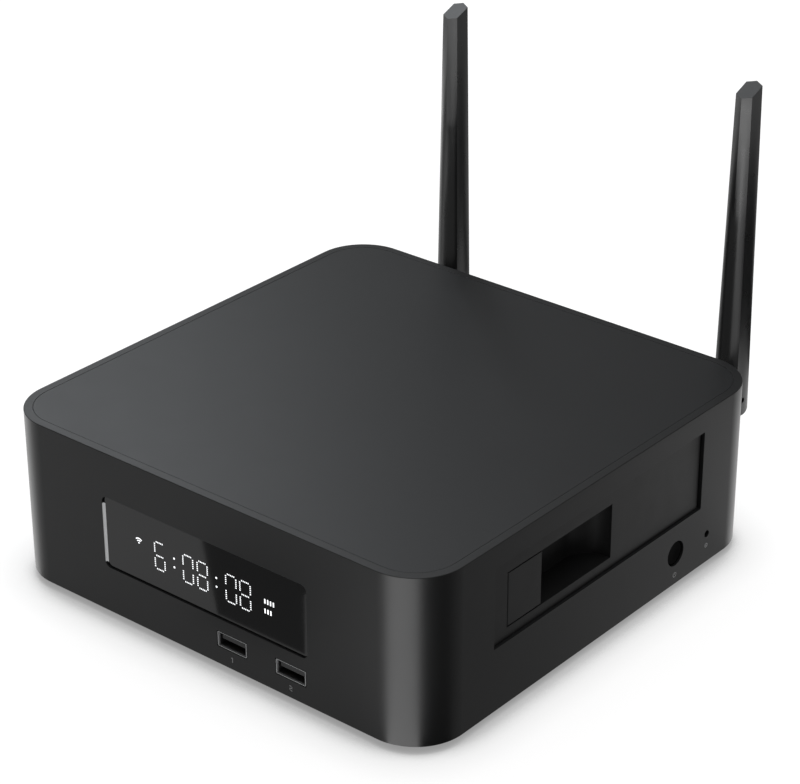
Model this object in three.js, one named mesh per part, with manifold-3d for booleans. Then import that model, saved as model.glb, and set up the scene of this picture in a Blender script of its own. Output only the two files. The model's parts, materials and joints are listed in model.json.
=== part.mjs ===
// Media player with a hard drive tray: a square housing with a display behind a tinted window,
// a drive tray with a flush pull lever in its right side, and two folding antennas at the back.
// Millimetres, +Z up. The front faces -Y, the tray comes out towards +X, the ports face +Y.
// The origin is under the middle of the whole object, on the surface that it stands on.

import * as THREE from "three";
import { mergeVertices } from "three/addons/utils/BufferGeometryUtils.js";
import Module from "manifold-3d";

const wasm = await Module();
wasm.setup();

// Fits and cuts
const seatGap = 0.1; // between pieces that are fixed face to face
const runGap = 0.3; // between pieces that move past each other
const overrun = 1; // how far a cut runs past the face that it opens
const weldDistance = 0.0001;

// Housing. Its width follows from the drive that lies across it, below.
const housingDepth = 205;
const housingHeight = 68;
const cornerRadius = 21;
const wallThickness = 3.5;
const edgeRounding = 0.8;
const ledgeReach = 2.5;
const ledgeThickness = 2;

// Top panel and bottom plate
const panelSeam = 0.3;
const panelThickness = 2.2;
const panelStep = 0.15;
const panelLipHeight = 1.6;
const panelLipThickness = 1.2;
const plateThickness = 1.6;
const plateInset = 0.6;
const intakeSlotLength = 40;
const intakeSlotWidth = 3;
const intakeSlotPitch = 8;
const intakeSlotCount = 7;
const intakeRowOffset = 32;

// Feet
const footHeight = 3;
const footRadius = 9;
const footChamfer = 1;
const footStemRadius = 4;
const footHeadRadius = 4.8;
const footHeadHeight = 1.4;
const footInset = 32;

// Main board, its standoffs and the posts of the drive cage
const standoffHeight = 4;
const standoffRadius = 3;
const standoffInsetX = 22;
const standoffInsetY = 30;
const boardThickness = 1.6;
const boardMargin = 3;
const boardCornerRadius = 16;
const postRadius = 3.2;
const postInsetX = 16;
const postInsetY = 7;

// Display
const windowWidth = 100;
const windowHeight = 30;
const windowBottom = 19.4;
const windowCornerRadius = 2.5;
const windowRecess = 0.75;
const windowEdgeGap = 0.15;
const windowFlangeReach = 2.5;
const windowFlangeThickness = 1.2;
const tubeWidth = 92;
const tubeHeight = 24;
const tubeDepth = 6;
const tubeChamfer = 1.2;
const displayBoardMargin = 5;
const displayLegWidth = 5;

// Front USB ports
const usbLipWidth = 14;
const usbLipHeight = 6.1;
const usbLipDepth = 0.5;
const usbWidth = 13.2;
const usbHeight = 5.6;
const usbShellWall = 0.35;
const usbLength = 14;
const usbTongueWidth = 11.1;
const usbTongueThickness = 1.8;
const usbTongueDrop = 0.5;
const usbTongueSetback = 1;
const usbHeelLength = 4;
const usbWindowInset = 8.25;
const usbPitch = 28.25;
const portEdgeGap = 0.15;

// Tray door in the right side
const doorCentre = -0.5;
const doorMargin = 12.85;
const doorHeight = 33.2;
const doorBottom = 25.9;
const doorRecess = 1.2;
const doorSideGap = 1;
const doorEdgeGap = 0.35;

// Tray bezel with its finger pocket and pull lever
const bezelThickness = 4;
const bezelEdgeRadius = 0.6;
const recessWidth = 42;
const recessHeight = 22.4;
const recessRise = 4.35;
const recessDepth = 12.5;
const recessFillet = 11;
const recessWall = 1.5;
const leverInset = 8;
const leverWidth = 19.1;
const leverThickness = 2.2;
const leverLipDepth = 1.4;
const leverLipWidth = 2.4;
const leverGap = 0.5;
const barrelRadius = 2.6;
const barrelDepth = 1.9;
const pinRadius = 1;
const pinGap = 0.08;
const pinSeatDepth = 3;

// Drive that the tray takes, a 3.5 inch one
const driveLength = 147;
const driveWidth = 101.6;
const driveHeight = 26.1;
const driveClearance = 0.7;
const driveFrontGap = 0.8;
const driveHoleFirst = 28.5;
const driveHoleSpan = 101.6;
const driveHoleRise = 6.35;
const driveHoleRadius = 1.8;

// Tray cradle, its runners and the guide rails
const cradleFloor = 1.4;
const cradleWall = 2;
const cradleSideHeight = 15;
const cradleOverhang = 1.5;
const cradleRibWidth = 9;
const cradleWindowRadius = 5;
const cradleWindowCount = 3;
const padThickness = 0.5;
const padWidth = 6;
const padInset = 12;
const runnerRise = 9;
const runnerHeight = 2.4;
const runnerReach = 2.2;
const railHeight = 10;
const railGrooveGap = 0.4;
const railBack = 3;
const railLeadIn = 3;

// Drive cage
const cageSheet = 1;
const cageFloorGap = 1;
const cageTopGap = 4.3;
const cageFlange = 6;
const cageRearGap = 9;
const cageWindowMargin = 13;
const cageWindowRadius = 6;
const cageWindowCount = 3;
const cageSlotWidth = 4;
const cageSlotHeight = 12;
const cageSlotPitch = 18;
const cageSlotCount = 7;
const cageSlotRise = 19;
const ribbonWindowWidth = 26;
const ribbonWindowHeight = 9;

// Drive connector on its board
const sataBoardWidth = 92;
const sataOffset = -20;
const sataBoardHeight = 22;
const sataWidth = 42;
const sataHeight = 7;
const sataLedge = 2.4;
const sataTongueThickness = 1.6;
const sataRise = 1.5;

// Flat ribbons
const ribbonWidth = 18;
const ribbonThickness = 0.5;
const ribbonBend = 3;
const ribbonFoot = 6;
const ribbonStandOff = 1.5;
const ribbonRoom = 33; // behind the drive cage, as far as the housing's left side

// Processor and heat sink
const chipSize = 23;
const chipHeight = 1.4;
const sinkWidth = 64;
const sinkLength = 60;
const sinkBase = 2.6;
const sinkHeight = 12.5;
const finThickness = 1.2;
const finCount = 13;
const sinkCentreX = 10;
const sinkCentreY = -8;

// Rear panel and its opening in the back wall
const rearOpeningInset = 24.5;
const rearOpeningBottom = 7;
const rearOpeningHeight = 52;
const rearOpeningRadius = 3;
const rearPanelThickness = 1.2;
const rearPanelLap = 2;

// Rear ports, each by the middle of its width
const lanCentre = -42;
const lanWidth = 16;
const lanHeight = 13.4;
const lanLength = 21;
const lanMouthDepth = 12.6;
const lanWall = 1.6;
const lanLatchWidth = 6.4;
const lanLatchHeight = 2.2;
const hdmiCentres = [-18, 3];
const hdmiWidth = 15;
const hdmiHeight = 5.6;
const hdmiLength = 11;
const hdmiMouthDepth = 8.2;
const hdmiWall = 0.5;
const hdmiTaper = 1.8;
const hdmiTongueThickness = 1.3;
const rearUsbCentre = 24;
const opticalCentre = 44;
const opticalSize = 9.8;
const opticalMouth = 7.6;
const opticalMouthDepth = 6;
const opticalLength = 13;
const audioCentre = 60;
const audioWidth = 8;
const audioBore = 1.8;
const audioRim = 3.4;
const audioLength = 12;
const inletCentre = -62;
const inletWidth = 9;
const inletHeight = 11;
const inletLength = 14;
const inletBore = 3.2;
const inletPin = 1.1;
const portRim = 0.4;

// Fan
const fanSize = 40;
const fanDepth = 10;
const fanCornerRadius = 3;
const fanBore = 18.7;
const fanHub = 11;
const fanHubGap = 0.6;
const fanPlate = 1.2;
const fanStrut = 2.2;
const fanStrutCount = 4;
const fanTipGap = 0.8;
const fanCentreRise = 41.6;
const fanBladeCount = 7;
const fanBladeThickness = 1;
const fanBladeChord = 8.6;
const fanBladePitch = THREE.MathUtils.degToRad(38);
const fanBladeRoot = 1.5;
const fanSpindle = 1;
const grilleRadius = 16.2;
const grilleSlot = 2.4;
const grillePitch = 4;

// Antennas: jack, sleeve nut, swivelling base, hinge pin and blade
const antennaInset = 6.7;
const antennaHeight = 37.5;
const antennaReach = 27;
const jackRadius = 3.1;
const jackLength = 9;
const jackHexRadius = 5.2;
const jackHexThickness = 2;
const jackBodyRadius = 4;
const jackBodyLength = 6;
const nutRadius = 4.7;
const nutWall = 1.3;
const nutEndWall = 1.2;
const nutRibDepth = 0.25;
const nutRibCount = 18;
const spigotRadius = 2.5;
const spigotLength = 1.6;
const baseRadius = 4.8;
const baseChamfer = 0.7;
const knuckleRadius = 4.6;
const knuckleThickness = 4;
const hingePinRadius = 1.1;
const bladeLength = 130.7;
const bladeTipSlope = 0.403;
const bladeTipWidth = 7.1;
const bladeTipFlat = 6.8;
const bladeTipPoint = 1.77;
const bladeRootWidth = 10.5;
const bladeRootFlat = 8.05;
const bladeRootPoint = 2.63;
const bladeCornerCut = 0.5;

// Power button, reset plunger and their switches
const buttonPitch = 21;
const powerRise = 13.6;
const powerRadius = 4.9;
const powerInset = 0.6;
const powerFlangeReach = 1.3;
const powerTravel = 1.2;
const resetBackInset = 34.1;
const resetRise = 12.8;
const resetRadius = 1.2;
const resetInset = 1.6;
const resetFlangeReach = 1.2;
const resetTravel = 0.5;
const buttonFlange = 1;
const buttonGap = 0.3;
const stemRadius = 1.5;
const stemLength = 0.6;
const switchDepth = 7;
const powerSwitchWidth = 12;
const resetSwitchWidth = 6;
const switchActuator = 1;

// Facets: of a quarter circle for corners, and of a whole circle for what is round
const cornerFacets = 10;
const filletFacets = 2;
const pocketFacets = 6;
const boreFacets = 28;
const roundFacets = 18;
const smallRoundFacets = 14;
const pinFacets = 10;
const hexFacets = 6;

// Places that follow from the sizes above
const driveSetback = doorRecess + recessDepth + recessWall + driveFrontGap;
const housingWidth = driveSetback + driveLength + cageRearGap + ribbonRoom;
const doorWidth = driveWidth + 2 * doorMargin;
const rearOpeningWidth = housingWidth - 2 * rearOpeningInset;
const antennaSpacing = rearOpeningWidth - 2 * antennaInset;
const frontFace = -housingDepth / 2;
const backFace = housingDepth / 2;
const rightFace = housingWidth / 2;
const innerFront = frontFace + wallThickness;
const innerBack = backFace - wallThickness;
const innerRight = rightFace - wallThickness;
const plateTop = plateInset + plateThickness;
const boardBottom = plateTop + standoffHeight + seatGap;
const boardTop = boardBottom + boardThickness;
const boardSeat = boardTop + seatGap;
const bezelFace = rightFace - doorRecess;
const bezelBack = bezelFace - bezelThickness;
const bezelWidth = doorWidth - 2 * doorSideGap;
const bezelBottom = doorBottom + doorEdgeGap;
const bezelTop = doorBottom + doorHeight - doorEdgeGap;
const bezelStart = doorCentre - bezelWidth / 2;
const leverStart = bezelStart + leverInset;
const leverEnd = leverStart + leverWidth;
const recessEnd = leverEnd + recessWidth;
const recessBottom = bezelBottom + recessRise;
const recessTop = recessBottom + recessHeight;
const recessBack = bezelFace - recessDepth;
const pocketBack = recessBack - recessWall;
const pocketStart = leverStart - barrelRadius - recessWall;
const pocketBottom = recessBottom - recessWall;
const pocketTop = recessTop + recessWall;
const usbCentreRight = windowWidth / 2 - usbWindowInset;
const usbCentreLeft = usbCentreRight - usbPitch;
const resetCentre = backFace - resetBackInset;
const powerCentre = resetCentre - buttonPitch;
const pivotX = bezelFace - barrelDepth;
const pivotY = leverStart + Math.sqrt(barrelRadius ** 2 - barrelDepth ** 2);
const cradleTop = pocketBottom - seatGap;
const cradleBottom = cradleTop - cradleFloor;
const driveFront = pocketBack - driveFrontGap;
const driveRear = driveFront - driveLength;
const cradleEnd = driveRear + cradleOverhang;
const cradleHalf = driveWidth / 2 + driveClearance + cradleWall;
const railInner = cradleHalf + railGrooveGap;
const railOuter = cradleHalf + runnerReach + railGrooveGap + railBack;
const cageInner = railOuter + seatGap;
const cageOuter = cageInner + cageSheet;
const cageFloorTop = cradleBottom - cageFloorGap;
const cageFloorBottom = cageFloorTop - cageSheet;
const cageTop = cradleTop + seatGap + padThickness + driveHeight + cageTopGap + cageSheet;
const cageFront = bezelBack - runGap;
const cageRear = driveRear - cageRearGap;
const runnerMiddle = cradleBottom + runnerRise;
const rearPanelOuter = innerBack - seatGap;
const rearPanelInner = rearPanelOuter - rearPanelThickness;
const hingeY = backFace + antennaReach;
const bladeHalfDepth = bladeRootFlat / 2 + bladeRootPoint;

// Solids from three.js geometries, with joins and cuts

function solid(geometry) {
  const bare = geometry.index ? geometry.toNonIndexed() : geometry.clone();
  bare.deleteAttribute("normal");
  bare.deleteAttribute("uv");
  const welded = mergeVertices(bare, weldDistance);
  const vertProperties = new Float32Array(welded.attributes.position.array);
  const triVerts = new Uint32Array(welded.index.array);
  return new wasm.Manifold(new wasm.Mesh({ numProp: 3, vertProperties, triVerts }));
}

function join(...solids) {
  return solids.flat().reduce((sum, next) => sum.add(next));
}

function cut(body, ...tools) {
  return tools.flat().reduce((rest, tool) => rest.subtract(tool), body);
}

function geometryOf(body) {
  const mesh = body.getMesh();
  const geometry = new THREE.BufferGeometry();
  geometry.setAttribute("position", new THREE.BufferAttribute(new Float32Array(mesh.vertProperties), 3));
  geometry.setIndex(new THREE.BufferAttribute(new Uint32Array(mesh.triVerts), 1));
  geometry.computeVertexNormals();
  return geometry;
}

// Box between two corners.
function box(x0, x1, y0, y1, z0, z1) {
  const geometry = new THREE.BoxGeometry(x1 - x0, y1 - y0, z1 - z0);
  return solid(geometry.translate((x0 + x1) / 2, (y0 + y1) / 2, (z0 + z1) / 2));
}

// Rectangle with round corners about a middle point.
function roundedRectangle(width, height, radius, middleX = 0, middleY = 0, Kind = THREE.Shape) {
  const [x0, x1] = [middleX - width / 2, middleX + width / 2];
  const [y0, y1] = [middleY - height / 2, middleY + height / 2];
  const outline = new Kind();
  outline.moveTo(x0 + radius, y0);
  outline.lineTo(x1 - radius, y0);
  outline.absarc(x1 - radius, y0 + radius, radius, -Math.PI / 2, 0);
  outline.lineTo(x1, y1 - radius);
  outline.absarc(x1 - radius, y1 - radius, radius, 0, Math.PI / 2);
  outline.lineTo(x0 + radius, y1);
  outline.absarc(x0 + radius, y1 - radius, radius, Math.PI / 2, Math.PI);
  outline.lineTo(x0, y0 + radius);
  outline.absarc(x0 + radius, y0 + radius, radius, Math.PI, Math.PI * 1.5);
  return outline;
}

function circle(radius, middleX = 0, middleY = 0) {
  return new THREE.Shape().absarc(middleX, middleY, radius, 0, Math.PI * 2);
}

function polygon(points) {
  return new THREE.Shape(points.map(([x, y]) => new THREE.Vector2(x, y)));
}

// An arc gets two facets for each curve segment, so the count of facets is halved here.
function extrusion(shape, depth, facets, bevel = {}) {
  const options = { depth, curveSegments: facets / 2, bevelEnabled: false, ...bevel };
  return new THREE.ExtrudeGeometry(shape, options);
}

// Prism of an outline drawn in X and Y, between two heights.
function prismZ(shape, z0, z1, facets = filletFacets) {
  return solid(extrusion(shape, z1 - z0, facets).translate(0, 0, z0));
}

// Prism of an outline drawn in Y and Z, between two places along X.
const alongX = new THREE.Matrix4().makeBasis(
  new THREE.Vector3(0, 1, 0),
  new THREE.Vector3(0, 0, 1),
  new THREE.Vector3(1, 0, 0),
);
function prismX(shape, x0, x1, facets = filletFacets) {
  return solid(extrusion(shape, x1 - x0, facets).applyMatrix4(alongX).translate(x0, 0, 0));
}

// Prism of an outline drawn in X and Z, between two places along Y.
function prismY(shape, y0, y1, facets = filletFacets) {
  return solid(extrusion(shape, y1 - y0, facets).rotateX(Math.PI / 2).translate(0, y1, 0));
}

// Body turned from a profile of [radius, place] points, about a line along Z, Y or X.
function turned(points, facets = roundFacets) {
  const profile = points.map(([radius, place]) => new THREE.Vector2(radius, place));
  return new THREE.LatheGeometry(profile, facets);
}
function turnedZ(points, x, y, facets) {
  return solid(turned(points, facets).rotateX(Math.PI / 2).translate(x, y, 0));
}
function turnedY(points, x, z, facets) {
  return solid(turned(points, facets).translate(x, 0, z));
}
function turnedX(points, y, z, facets) {
  return solid(turned(points, facets).rotateZ(-Math.PI / 2).translate(0, y, z));
}

// Body between two outlines with as many points each, given as rings of [x, y, z].
function loft(lower, upper) {
  const count = lower.length;
  const positions = [...lower, ...upper].flat();
  const faces = [];
  for (let i = 0; i < count; i++) {
    const next = (i + 1) % count;
    faces.push(i, next, count + next, i, count + next, count + i);
  }
  for (let i = 1; i < count - 1; i++) {
    faces.push(0, i + 1, i);
    faces.push(count, count + i, count + i + 1);
  }
  const geometry = new THREE.BufferGeometry();
  geometry.setAttribute("position", new THREE.Float32BufferAttribute(positions, 3));
  geometry.setIndex(faces);
  return solid(geometry);
}

// Evenly spaced places about a middle.
function row(count, pitch, middle = 0) {
  return Array.from({ length: count }, (_, i) => middle + (i - (count - 1) / 2) * pitch);
}

// Materials

function material(color, roughness, metalness = 0, more = {}) {
  return new THREE.MeshStandardMaterial({ color, roughness, metalness, ...more });
}
const satinBlack = material(0x2b2c2e, 0.5, 0.6);
const satinCharcoal = material(0x34363a, 0.55, 0.5);
const platedSteel = material(0xa9abad, 0.35, 1);
const brightSteel = material(0xc9cbcd, 0.25, 1);
const blackSteel = material(0x232425, 0.6, 0.4);
const mouldedBlack = material(0x27282a, 0.55);
const glossBlack = material(0x0a0a0b, 0.12);
const tintedWindow = material(0x0d0e10, 0.08);
const displayGlass = material(0x3a4446, 0.1, 0, { transparent: true, opacity: 0.6 });
const boardGreen = material(0x17402a, 0.6);
const chipBlack = material(0x1b1b1c, 0.5);
const finAluminium = material(0xb4b6b9, 0.4, 1);
const rubberBlack = material(0x161616, 0.9);
const insulatorGrey = material(0x6d6f70, 0.5);
const insulatorBlack = material(0x141415, 0.5);
const brass = material(0xb58a3c, 0.35, 1);
const railWhite = material(0xd8d6cf, 0.5);
const ribbonGrey = material(0xb9bab5, 0.6);

// Housing: a square ring with round corners, rounded along its outer edges, with a ledge inside
// under the top panel and another over the bottom plate.

function housingOutline(inset) {
  const width = housingWidth - 2 * inset;
  const depth = housingDepth - 2 * inset;
  return roundedRectangle(width, depth, cornerRadius - inset);
}

function roundedBlock() {
  const bevel = {
    bevelEnabled: true,
    bevelSize: edgeRounding,
    bevelThickness: edgeRounding,
    bevelSegments: 2,
    bevelOffset: -edgeRounding,
  };
  const depth = housingHeight - 2 * edgeRounding;
  return solid(extrusion(housingOutline(0), depth, cornerFacets, bevel).translate(0, 0, edgeRounding));
}

function windowOpening() {
  const middle = windowBottom + windowHeight / 2;
  const outline = roundedRectangle(windowWidth, windowHeight, windowCornerRadius, 0, middle);
  return prismY(outline, frontFace - overrun, innerFront + overrun);
}

function usbOpening(centre) {
  const half = usbLipWidth / 2 + portEdgeGap;
  const bottom = boardSeat + (usbHeight - usbLipHeight) / 2 - portEdgeGap;
  const top = bottom + usbLipHeight + 2 * portEdgeGap;
  return box(centre - half, centre + half, frontFace - overrun, innerFront + overrun, bottom, top);
}

function doorOpening() {
  const [y0, y1] = [doorCentre - doorWidth / 2, doorCentre + doorWidth / 2];
  return box(innerRight - overrun, rightFace + overrun, y0, y1, doorBottom, doorBottom + doorHeight);
}

function buttonHole(radius, y, z) {
  const hole = circle(radius + buttonGap, y, z);
  return prismX(hole, innerRight - overrun, rightFace + overrun, smallRoundFacets);
}

function rearOpening() {
  const middle = rearOpeningBottom + rearOpeningHeight / 2;
  const outline = roundedRectangle(rearOpeningWidth, rearOpeningHeight, rearOpeningRadius, 0, middle);
  return prismY(outline, innerBack - overrun, backFace + overrun);
}

function housingShell() {
  const through = [-overrun, housingHeight + overrun, cornerFacets];
  const inner = prismZ(housingOutline(wallThickness), ...through);
  const opening = prismZ(housingOutline(wallThickness + ledgeReach), ...through);
  const ring = cut(roundedBlock(), inner);
  const upperTop = housingHeight - panelStep - panelThickness - seatGap;
  const lowerBottom = plateTop + seatGap;
  const ledges = [
    [upperTop - ledgeThickness, upperTop],
    [lowerBottom, lowerBottom + ledgeThickness],
  ].map(([z0, z1]) => cut(prismZ(housingOutline(wallThickness / 2), z0, z1, cornerFacets), opening));
  return cut(
    join(ring, ledges),
    windowOpening(),
    usbOpening(usbCentreLeft),
    usbOpening(usbCentreRight),
    doorOpening(),
    buttonHole(powerRadius, powerCentre, powerRise),
    buttonHole(resetRadius, resetCentre, resetRise),
    rearOpening(),
  );
}

// The panel drops into the rim and is centred by a lip inside the ledge.
function topPanel() {
  const top = housingHeight - panelStep;
  const bottom = top - panelThickness;
  const lipInset = wallThickness + ledgeReach + panelSeam;
  const plate = prismZ(housingOutline(wallThickness + panelSeam), bottom, top, cornerFacets);
  const outer = prismZ(housingOutline(lipInset), bottom - panelLipHeight, bottom + seatGap, cornerFacets);
  const hollow = housingOutline(lipInset + panelLipThickness);
  const inner = prismZ(hollow, bottom - panelLipHeight - overrun, bottom, cornerFacets);
  return join(plate, cut(outer, inner));
}

// Bottom plate with its intake slots, board standoffs and the four tall posts of the drive cage.

function footPlaces() {
  const x = housingWidth / 2 - footInset;
  const y = housingDepth / 2 - footInset;
  return [
    ["foot_front_left", -x, -y],
    ["foot_front_right", x, -y],
    ["foot_rear_left", -x, y],
    ["foot_rear_right", x, y],
  ];
}

function standoffPlaces() {
  const x = housingWidth / 2 - standoffInsetX;
  const y = housingDepth / 2 - standoffInsetY;
  return [-x, x].flatMap((placeX) => [-y, y].map((placeY) => [placeX, placeY]));
}

function postPlaces() {
  const y = cageOuter - postInsetY;
  return [cageRear + postInsetX, cageFront - postInsetX].flatMap((x) => [
    [x, doorCentre - y],
    [x, doorCentre + y],
  ]);
}

function post(radius, x, y, top) {
  const bottom = plateTop - seatGap;
  return turnedZ([[0, bottom], [radius, bottom], [radius, top], [0, top]], x, y, smallRoundFacets);
}

function bottomPlate() {
  const plate = prismZ(housingOutline(wallThickness + panelSeam), plateInset, plateTop, cornerFacets);
  const slots = [-intakeRowOffset, intakeRowOffset].flatMap((y) =>
    row(intakeSlotCount, intakeSlotPitch).map((x) => {
      const outline = roundedRectangle(intakeSlotWidth, intakeSlotLength, intakeSlotWidth / 2, x, y);
      return prismZ(outline, plateInset - overrun, plateTop + overrun);
    }),
  );
  const footHoles = footPlaces().map(([, x, y]) =>
    prismZ(circle(footStemRadius + runGap, x, y), plateInset - overrun, plateTop + overrun, smallRoundFacets),
  );
  const standoffs = standoffPlaces().map(([x, y]) => post(standoffRadius, x, y, plateTop + standoffHeight));
  const posts = postPlaces().map(([x, y]) => post(postRadius, x, y, cageFloorBottom - seatGap));
  return join(cut(plate, slots, footHoles), standoffs, posts);
}

// Rubber foot: its stem goes up through the plate and a head holds it inside.
function foot(x, y) {
  const seat = plateInset - seatGap;
  const headStart = plateTop + seatGap;
  const profile = [
    [0, -footHeight],
    [footRadius - footChamfer, -footHeight],
    [footRadius, -footHeight + footChamfer],
    [footRadius, seat],
    [footStemRadius, seat],
    [footStemRadius, headStart],
    [footHeadRadius, headStart],
    [footStemRadius, headStart + footHeadHeight],
    [0, headStart + footHeadHeight],
  ];
  return turnedZ(profile, x, y);
}

// Display: tinted window with a flange behind the wall, glass tube, and a board on two legs.

function displayWindow() {
  const middle = windowBottom + windowHeight / 2;
  const lens = roundedRectangle(
    windowWidth - 2 * windowEdgeGap,
    windowHeight - 2 * windowEdgeGap,
    windowCornerRadius - windowEdgeGap,
    0,
    middle,
  );
  const flange = roundedRectangle(
    windowWidth + 2 * windowFlangeReach,
    windowHeight + 2 * windowFlangeReach,
    windowCornerRadius,
    0,
    middle,
  );
  const flangeFront = innerFront + seatGap;
  return join(
    prismY(lens, frontFace + windowRecess, flangeFront + seatGap),
    prismY(flange, flangeFront, flangeFront + windowFlangeThickness),
  );
}

const tubeFront = innerFront + seatGap + windowFlangeThickness + runGap;
const displayBoardFront = tubeFront + tubeDepth + seatGap;
const displayBoardBack = displayBoardFront + boardThickness;

function displayTube() {
  const middle = windowBottom + windowHeight / 2;
  const half = tubeHeight / 2;
  const [near, far] = [tubeFront, tubeFront + tubeDepth];
  const section = polygon([
    [near + tubeChamfer, middle - half],
    [far, middle - half],
    [far, middle + half],
    [near + tubeChamfer, middle + half],
    [near, middle + half - tubeChamfer],
    [near, middle - half + tubeChamfer],
  ]);
  return prismX(section, -tubeWidth / 2, tubeWidth / 2);
}

function displayBoard() {
  const half = windowWidth / 2 + displayBoardMargin;
  const bottom = windowBottom - displayBoardMargin / 2;
  const top = windowBottom + windowHeight + displayBoardMargin / 2;
  const outline = polygon([
    [-half, boardSeat],
    [-half + displayLegWidth, boardSeat],
    [-half + displayLegWidth, bottom],
    [half - displayLegWidth, bottom],
    [half - displayLegWidth, boardSeat],
    [half, boardSeat],
    [half, top],
    [-half, top],
  ]);
  return prismY(outline, displayBoardFront, displayBoardBack);
}

// Main board with clearance holes for the cage's posts.
function mainBoard() {
  const width = housingWidth - 2 * (wallThickness + ledgeReach + boardMargin);
  const depth = housingDepth - 2 * (wallThickness + ledgeReach + boardMargin);
  const outline = roundedRectangle(width, depth, boardCornerRadius);
  const holes = postPlaces().map(([x, y]) =>
    prismZ(circle(postRadius + runGap, x, y), boardBottom - overrun, boardTop + overrun, smallRoundFacets),
  );
  return cut(prismZ(outline, boardBottom, boardTop), holes);
}

// Processor and the finned heat sink on it.

function processor() {
  const half = chipSize / 2;
  const [x, y] = [sinkCentreX, sinkCentreY];
  return box(x - half, x + half, y - half, y + half, boardSeat, boardSeat + chipHeight);
}

function heatSink() {
  const bottom = boardSeat + chipHeight + seatGap;
  const [x0, x1] = [sinkCentreX - sinkWidth / 2, sinkCentreX + sinkWidth / 2];
  const [y0, y1] = [sinkCentreY - sinkLength / 2, sinkCentreY + sinkLength / 2];
  const base = box(x0, x1, y0, y1, bottom, bottom + sinkBase);
  const pitch = (sinkWidth - finThickness) / (finCount - 1);
  const fins = row(finCount, pitch, sinkCentreX).map((x) =>
    box(x - finThickness / 2, x + finThickness / 2, y0, y1, bottom + sinkBase / 2, bottom + sinkHeight),
  );
  return join(base, fins);
}

// USB port: a steel shell with a lip at its mouth, and a moulded tongue on a heel inside it.
// Its mouth is at the given place along Y and it runs back by its length, in the way's direction.

function usbShell(centre, mouth, way) {
  const middle = boardSeat + usbHeight / 2;
  const [back, lipBack] = [mouth + way * usbLength, mouth + way * usbLipDepth];
  const span = (a, b) => [Math.min(a, b), Math.max(a, b)];
  const tubeOutline = roundedRectangle(usbWidth, usbHeight, usbShellWall, centre, middle);
  const tube = prismY(tubeOutline, ...span(mouth, back));
  const lipOutline = roundedRectangle(usbLipWidth, usbLipHeight, usbShellWall, centre, middle);
  const lip = prismY(lipOutline, ...span(mouth, lipBack));
  const half = usbWidth / 2 - usbShellWall;
  const [z0, z1] = [boardSeat + usbShellWall, boardSeat + usbHeight - usbShellWall];
  const [y0, y1] = span(mouth - way * overrun, back + way * overrun);
  const hollow = box(centre - half, centre + half, y0, y1, z0, z1);
  return cut(join(tube, lip), hollow);
}

function usbTongue(centre, mouth, way) {
  const half = usbWidth / 2 - usbShellWall - seatGap;
  const [z0, z1] = [boardSeat + usbShellWall + seatGap, boardSeat + usbHeight - usbShellWall - seatGap];
  const back = mouth + way * usbLength;
  const span = (a, b) => [Math.min(a, b), Math.max(a, b)];
  const heel = box(centre - half, centre + half, ...span(back - way * usbHeelLength, back), z0, z1);
  const top = z1 - usbTongueDrop;
  const halfTongue = usbTongueWidth / 2;
  const tip = mouth + way * usbTongueSetback;
  const [y0, y1] = span(tip, back - way * usbHeelLength / 2);
  const tongue = box(centre - halfTongue, centre + halfTongue, y0, y1, top - usbTongueThickness, top);
  return join(heel, tongue);
}

// Tray bezel: a plate with round edges, a finger pocket behind it and a barrel seat for the lever.

function pocketOutline(wall) {
  const back = recessBack - wall;
  const end = recessEnd + wall;
  const start = pocketStart + recessWall - wall;
  const radius = recessFillet + wall;
  const outline = new THREE.Shape();
  outline.moveTo(bezelFace + (wall ? -edgeRounding : overrun), start);
  outline.lineTo(back, start);
  outline.lineTo(back, end - radius);
  outline.absarc(back + radius, end - radius, radius, Math.PI, Math.PI / 2, true);
  outline.lineTo(bezelFace + (wall ? -edgeRounding : overrun), end);
  return outline;
}

function trayBezel() {
  const middle = (bezelBottom + bezelTop) / 2;
  const face = roundedRectangle(bezelWidth, bezelTop - bezelBottom, bezelEdgeRadius, doorCentre, middle);
  const plate = prismX(face, bezelBack, bezelFace);
  const pocket = prismZ(pocketOutline(recessWall), pocketBottom, pocketTop, pocketFacets);
  const faceCover = box(
    bezelFace - leverThickness - runGap,
    bezelFace + overrun,
    pocketStart - overrun,
    leverStart - leverGap,
    recessBottom - overrun,
    recessTop + overrun,
  );
  const hollow = cut(prismZ(pocketOutline(0), recessBottom, recessTop, pocketFacets), faceCover);
  const seatCircle = circle(barrelRadius + runGap, pivotX, pivotY);
  const seat = prismZ(seatCircle, recessBottom, recessTop, smallRoundFacets);
  const [z0, z1] = [recessBottom - pinSeatDepth - pinGap, recessTop + pinSeatDepth + pinGap];
  const pinHole = prismZ(circle(pinRadius + pinGap, pivotX, pivotY), z0, z1, pinFacets);
  return cut(join(plate, pocket), hollow, seat, pinHole);
}

// Pull lever: a flush plate on a barrel whose round side turns in the bezel's seat.
function latchLever() {
  const [z0, z1] = [recessBottom + leverGap, recessTop - leverGap];
  const plate = box(bezelFace - leverThickness, bezelFace, pivotY, leverEnd, z0, z1);
  const lipBack = bezelFace - leverThickness - leverLipDepth;
  const lip = box(lipBack, bezelFace - leverThickness / 2, leverEnd - leverLipWidth, leverEnd, z0, z1);
  const barrel = prismZ(circle(barrelRadius, pivotX, pivotY), z0, z1, smallRoundFacets);
  const [y0, y1] = [pivotY - barrelRadius, leverEnd];
  const proud = box(bezelFace, bezelFace + barrelRadius, y0, y1, z0 - overrun, z1 + overrun);
  const hole = prismZ(circle(pinRadius + pinGap, pivotX, pivotY), z0 - overrun, z1 + overrun, pinFacets);
  return cut(join(plate, lip, barrel), proud, hole);
}

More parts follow.
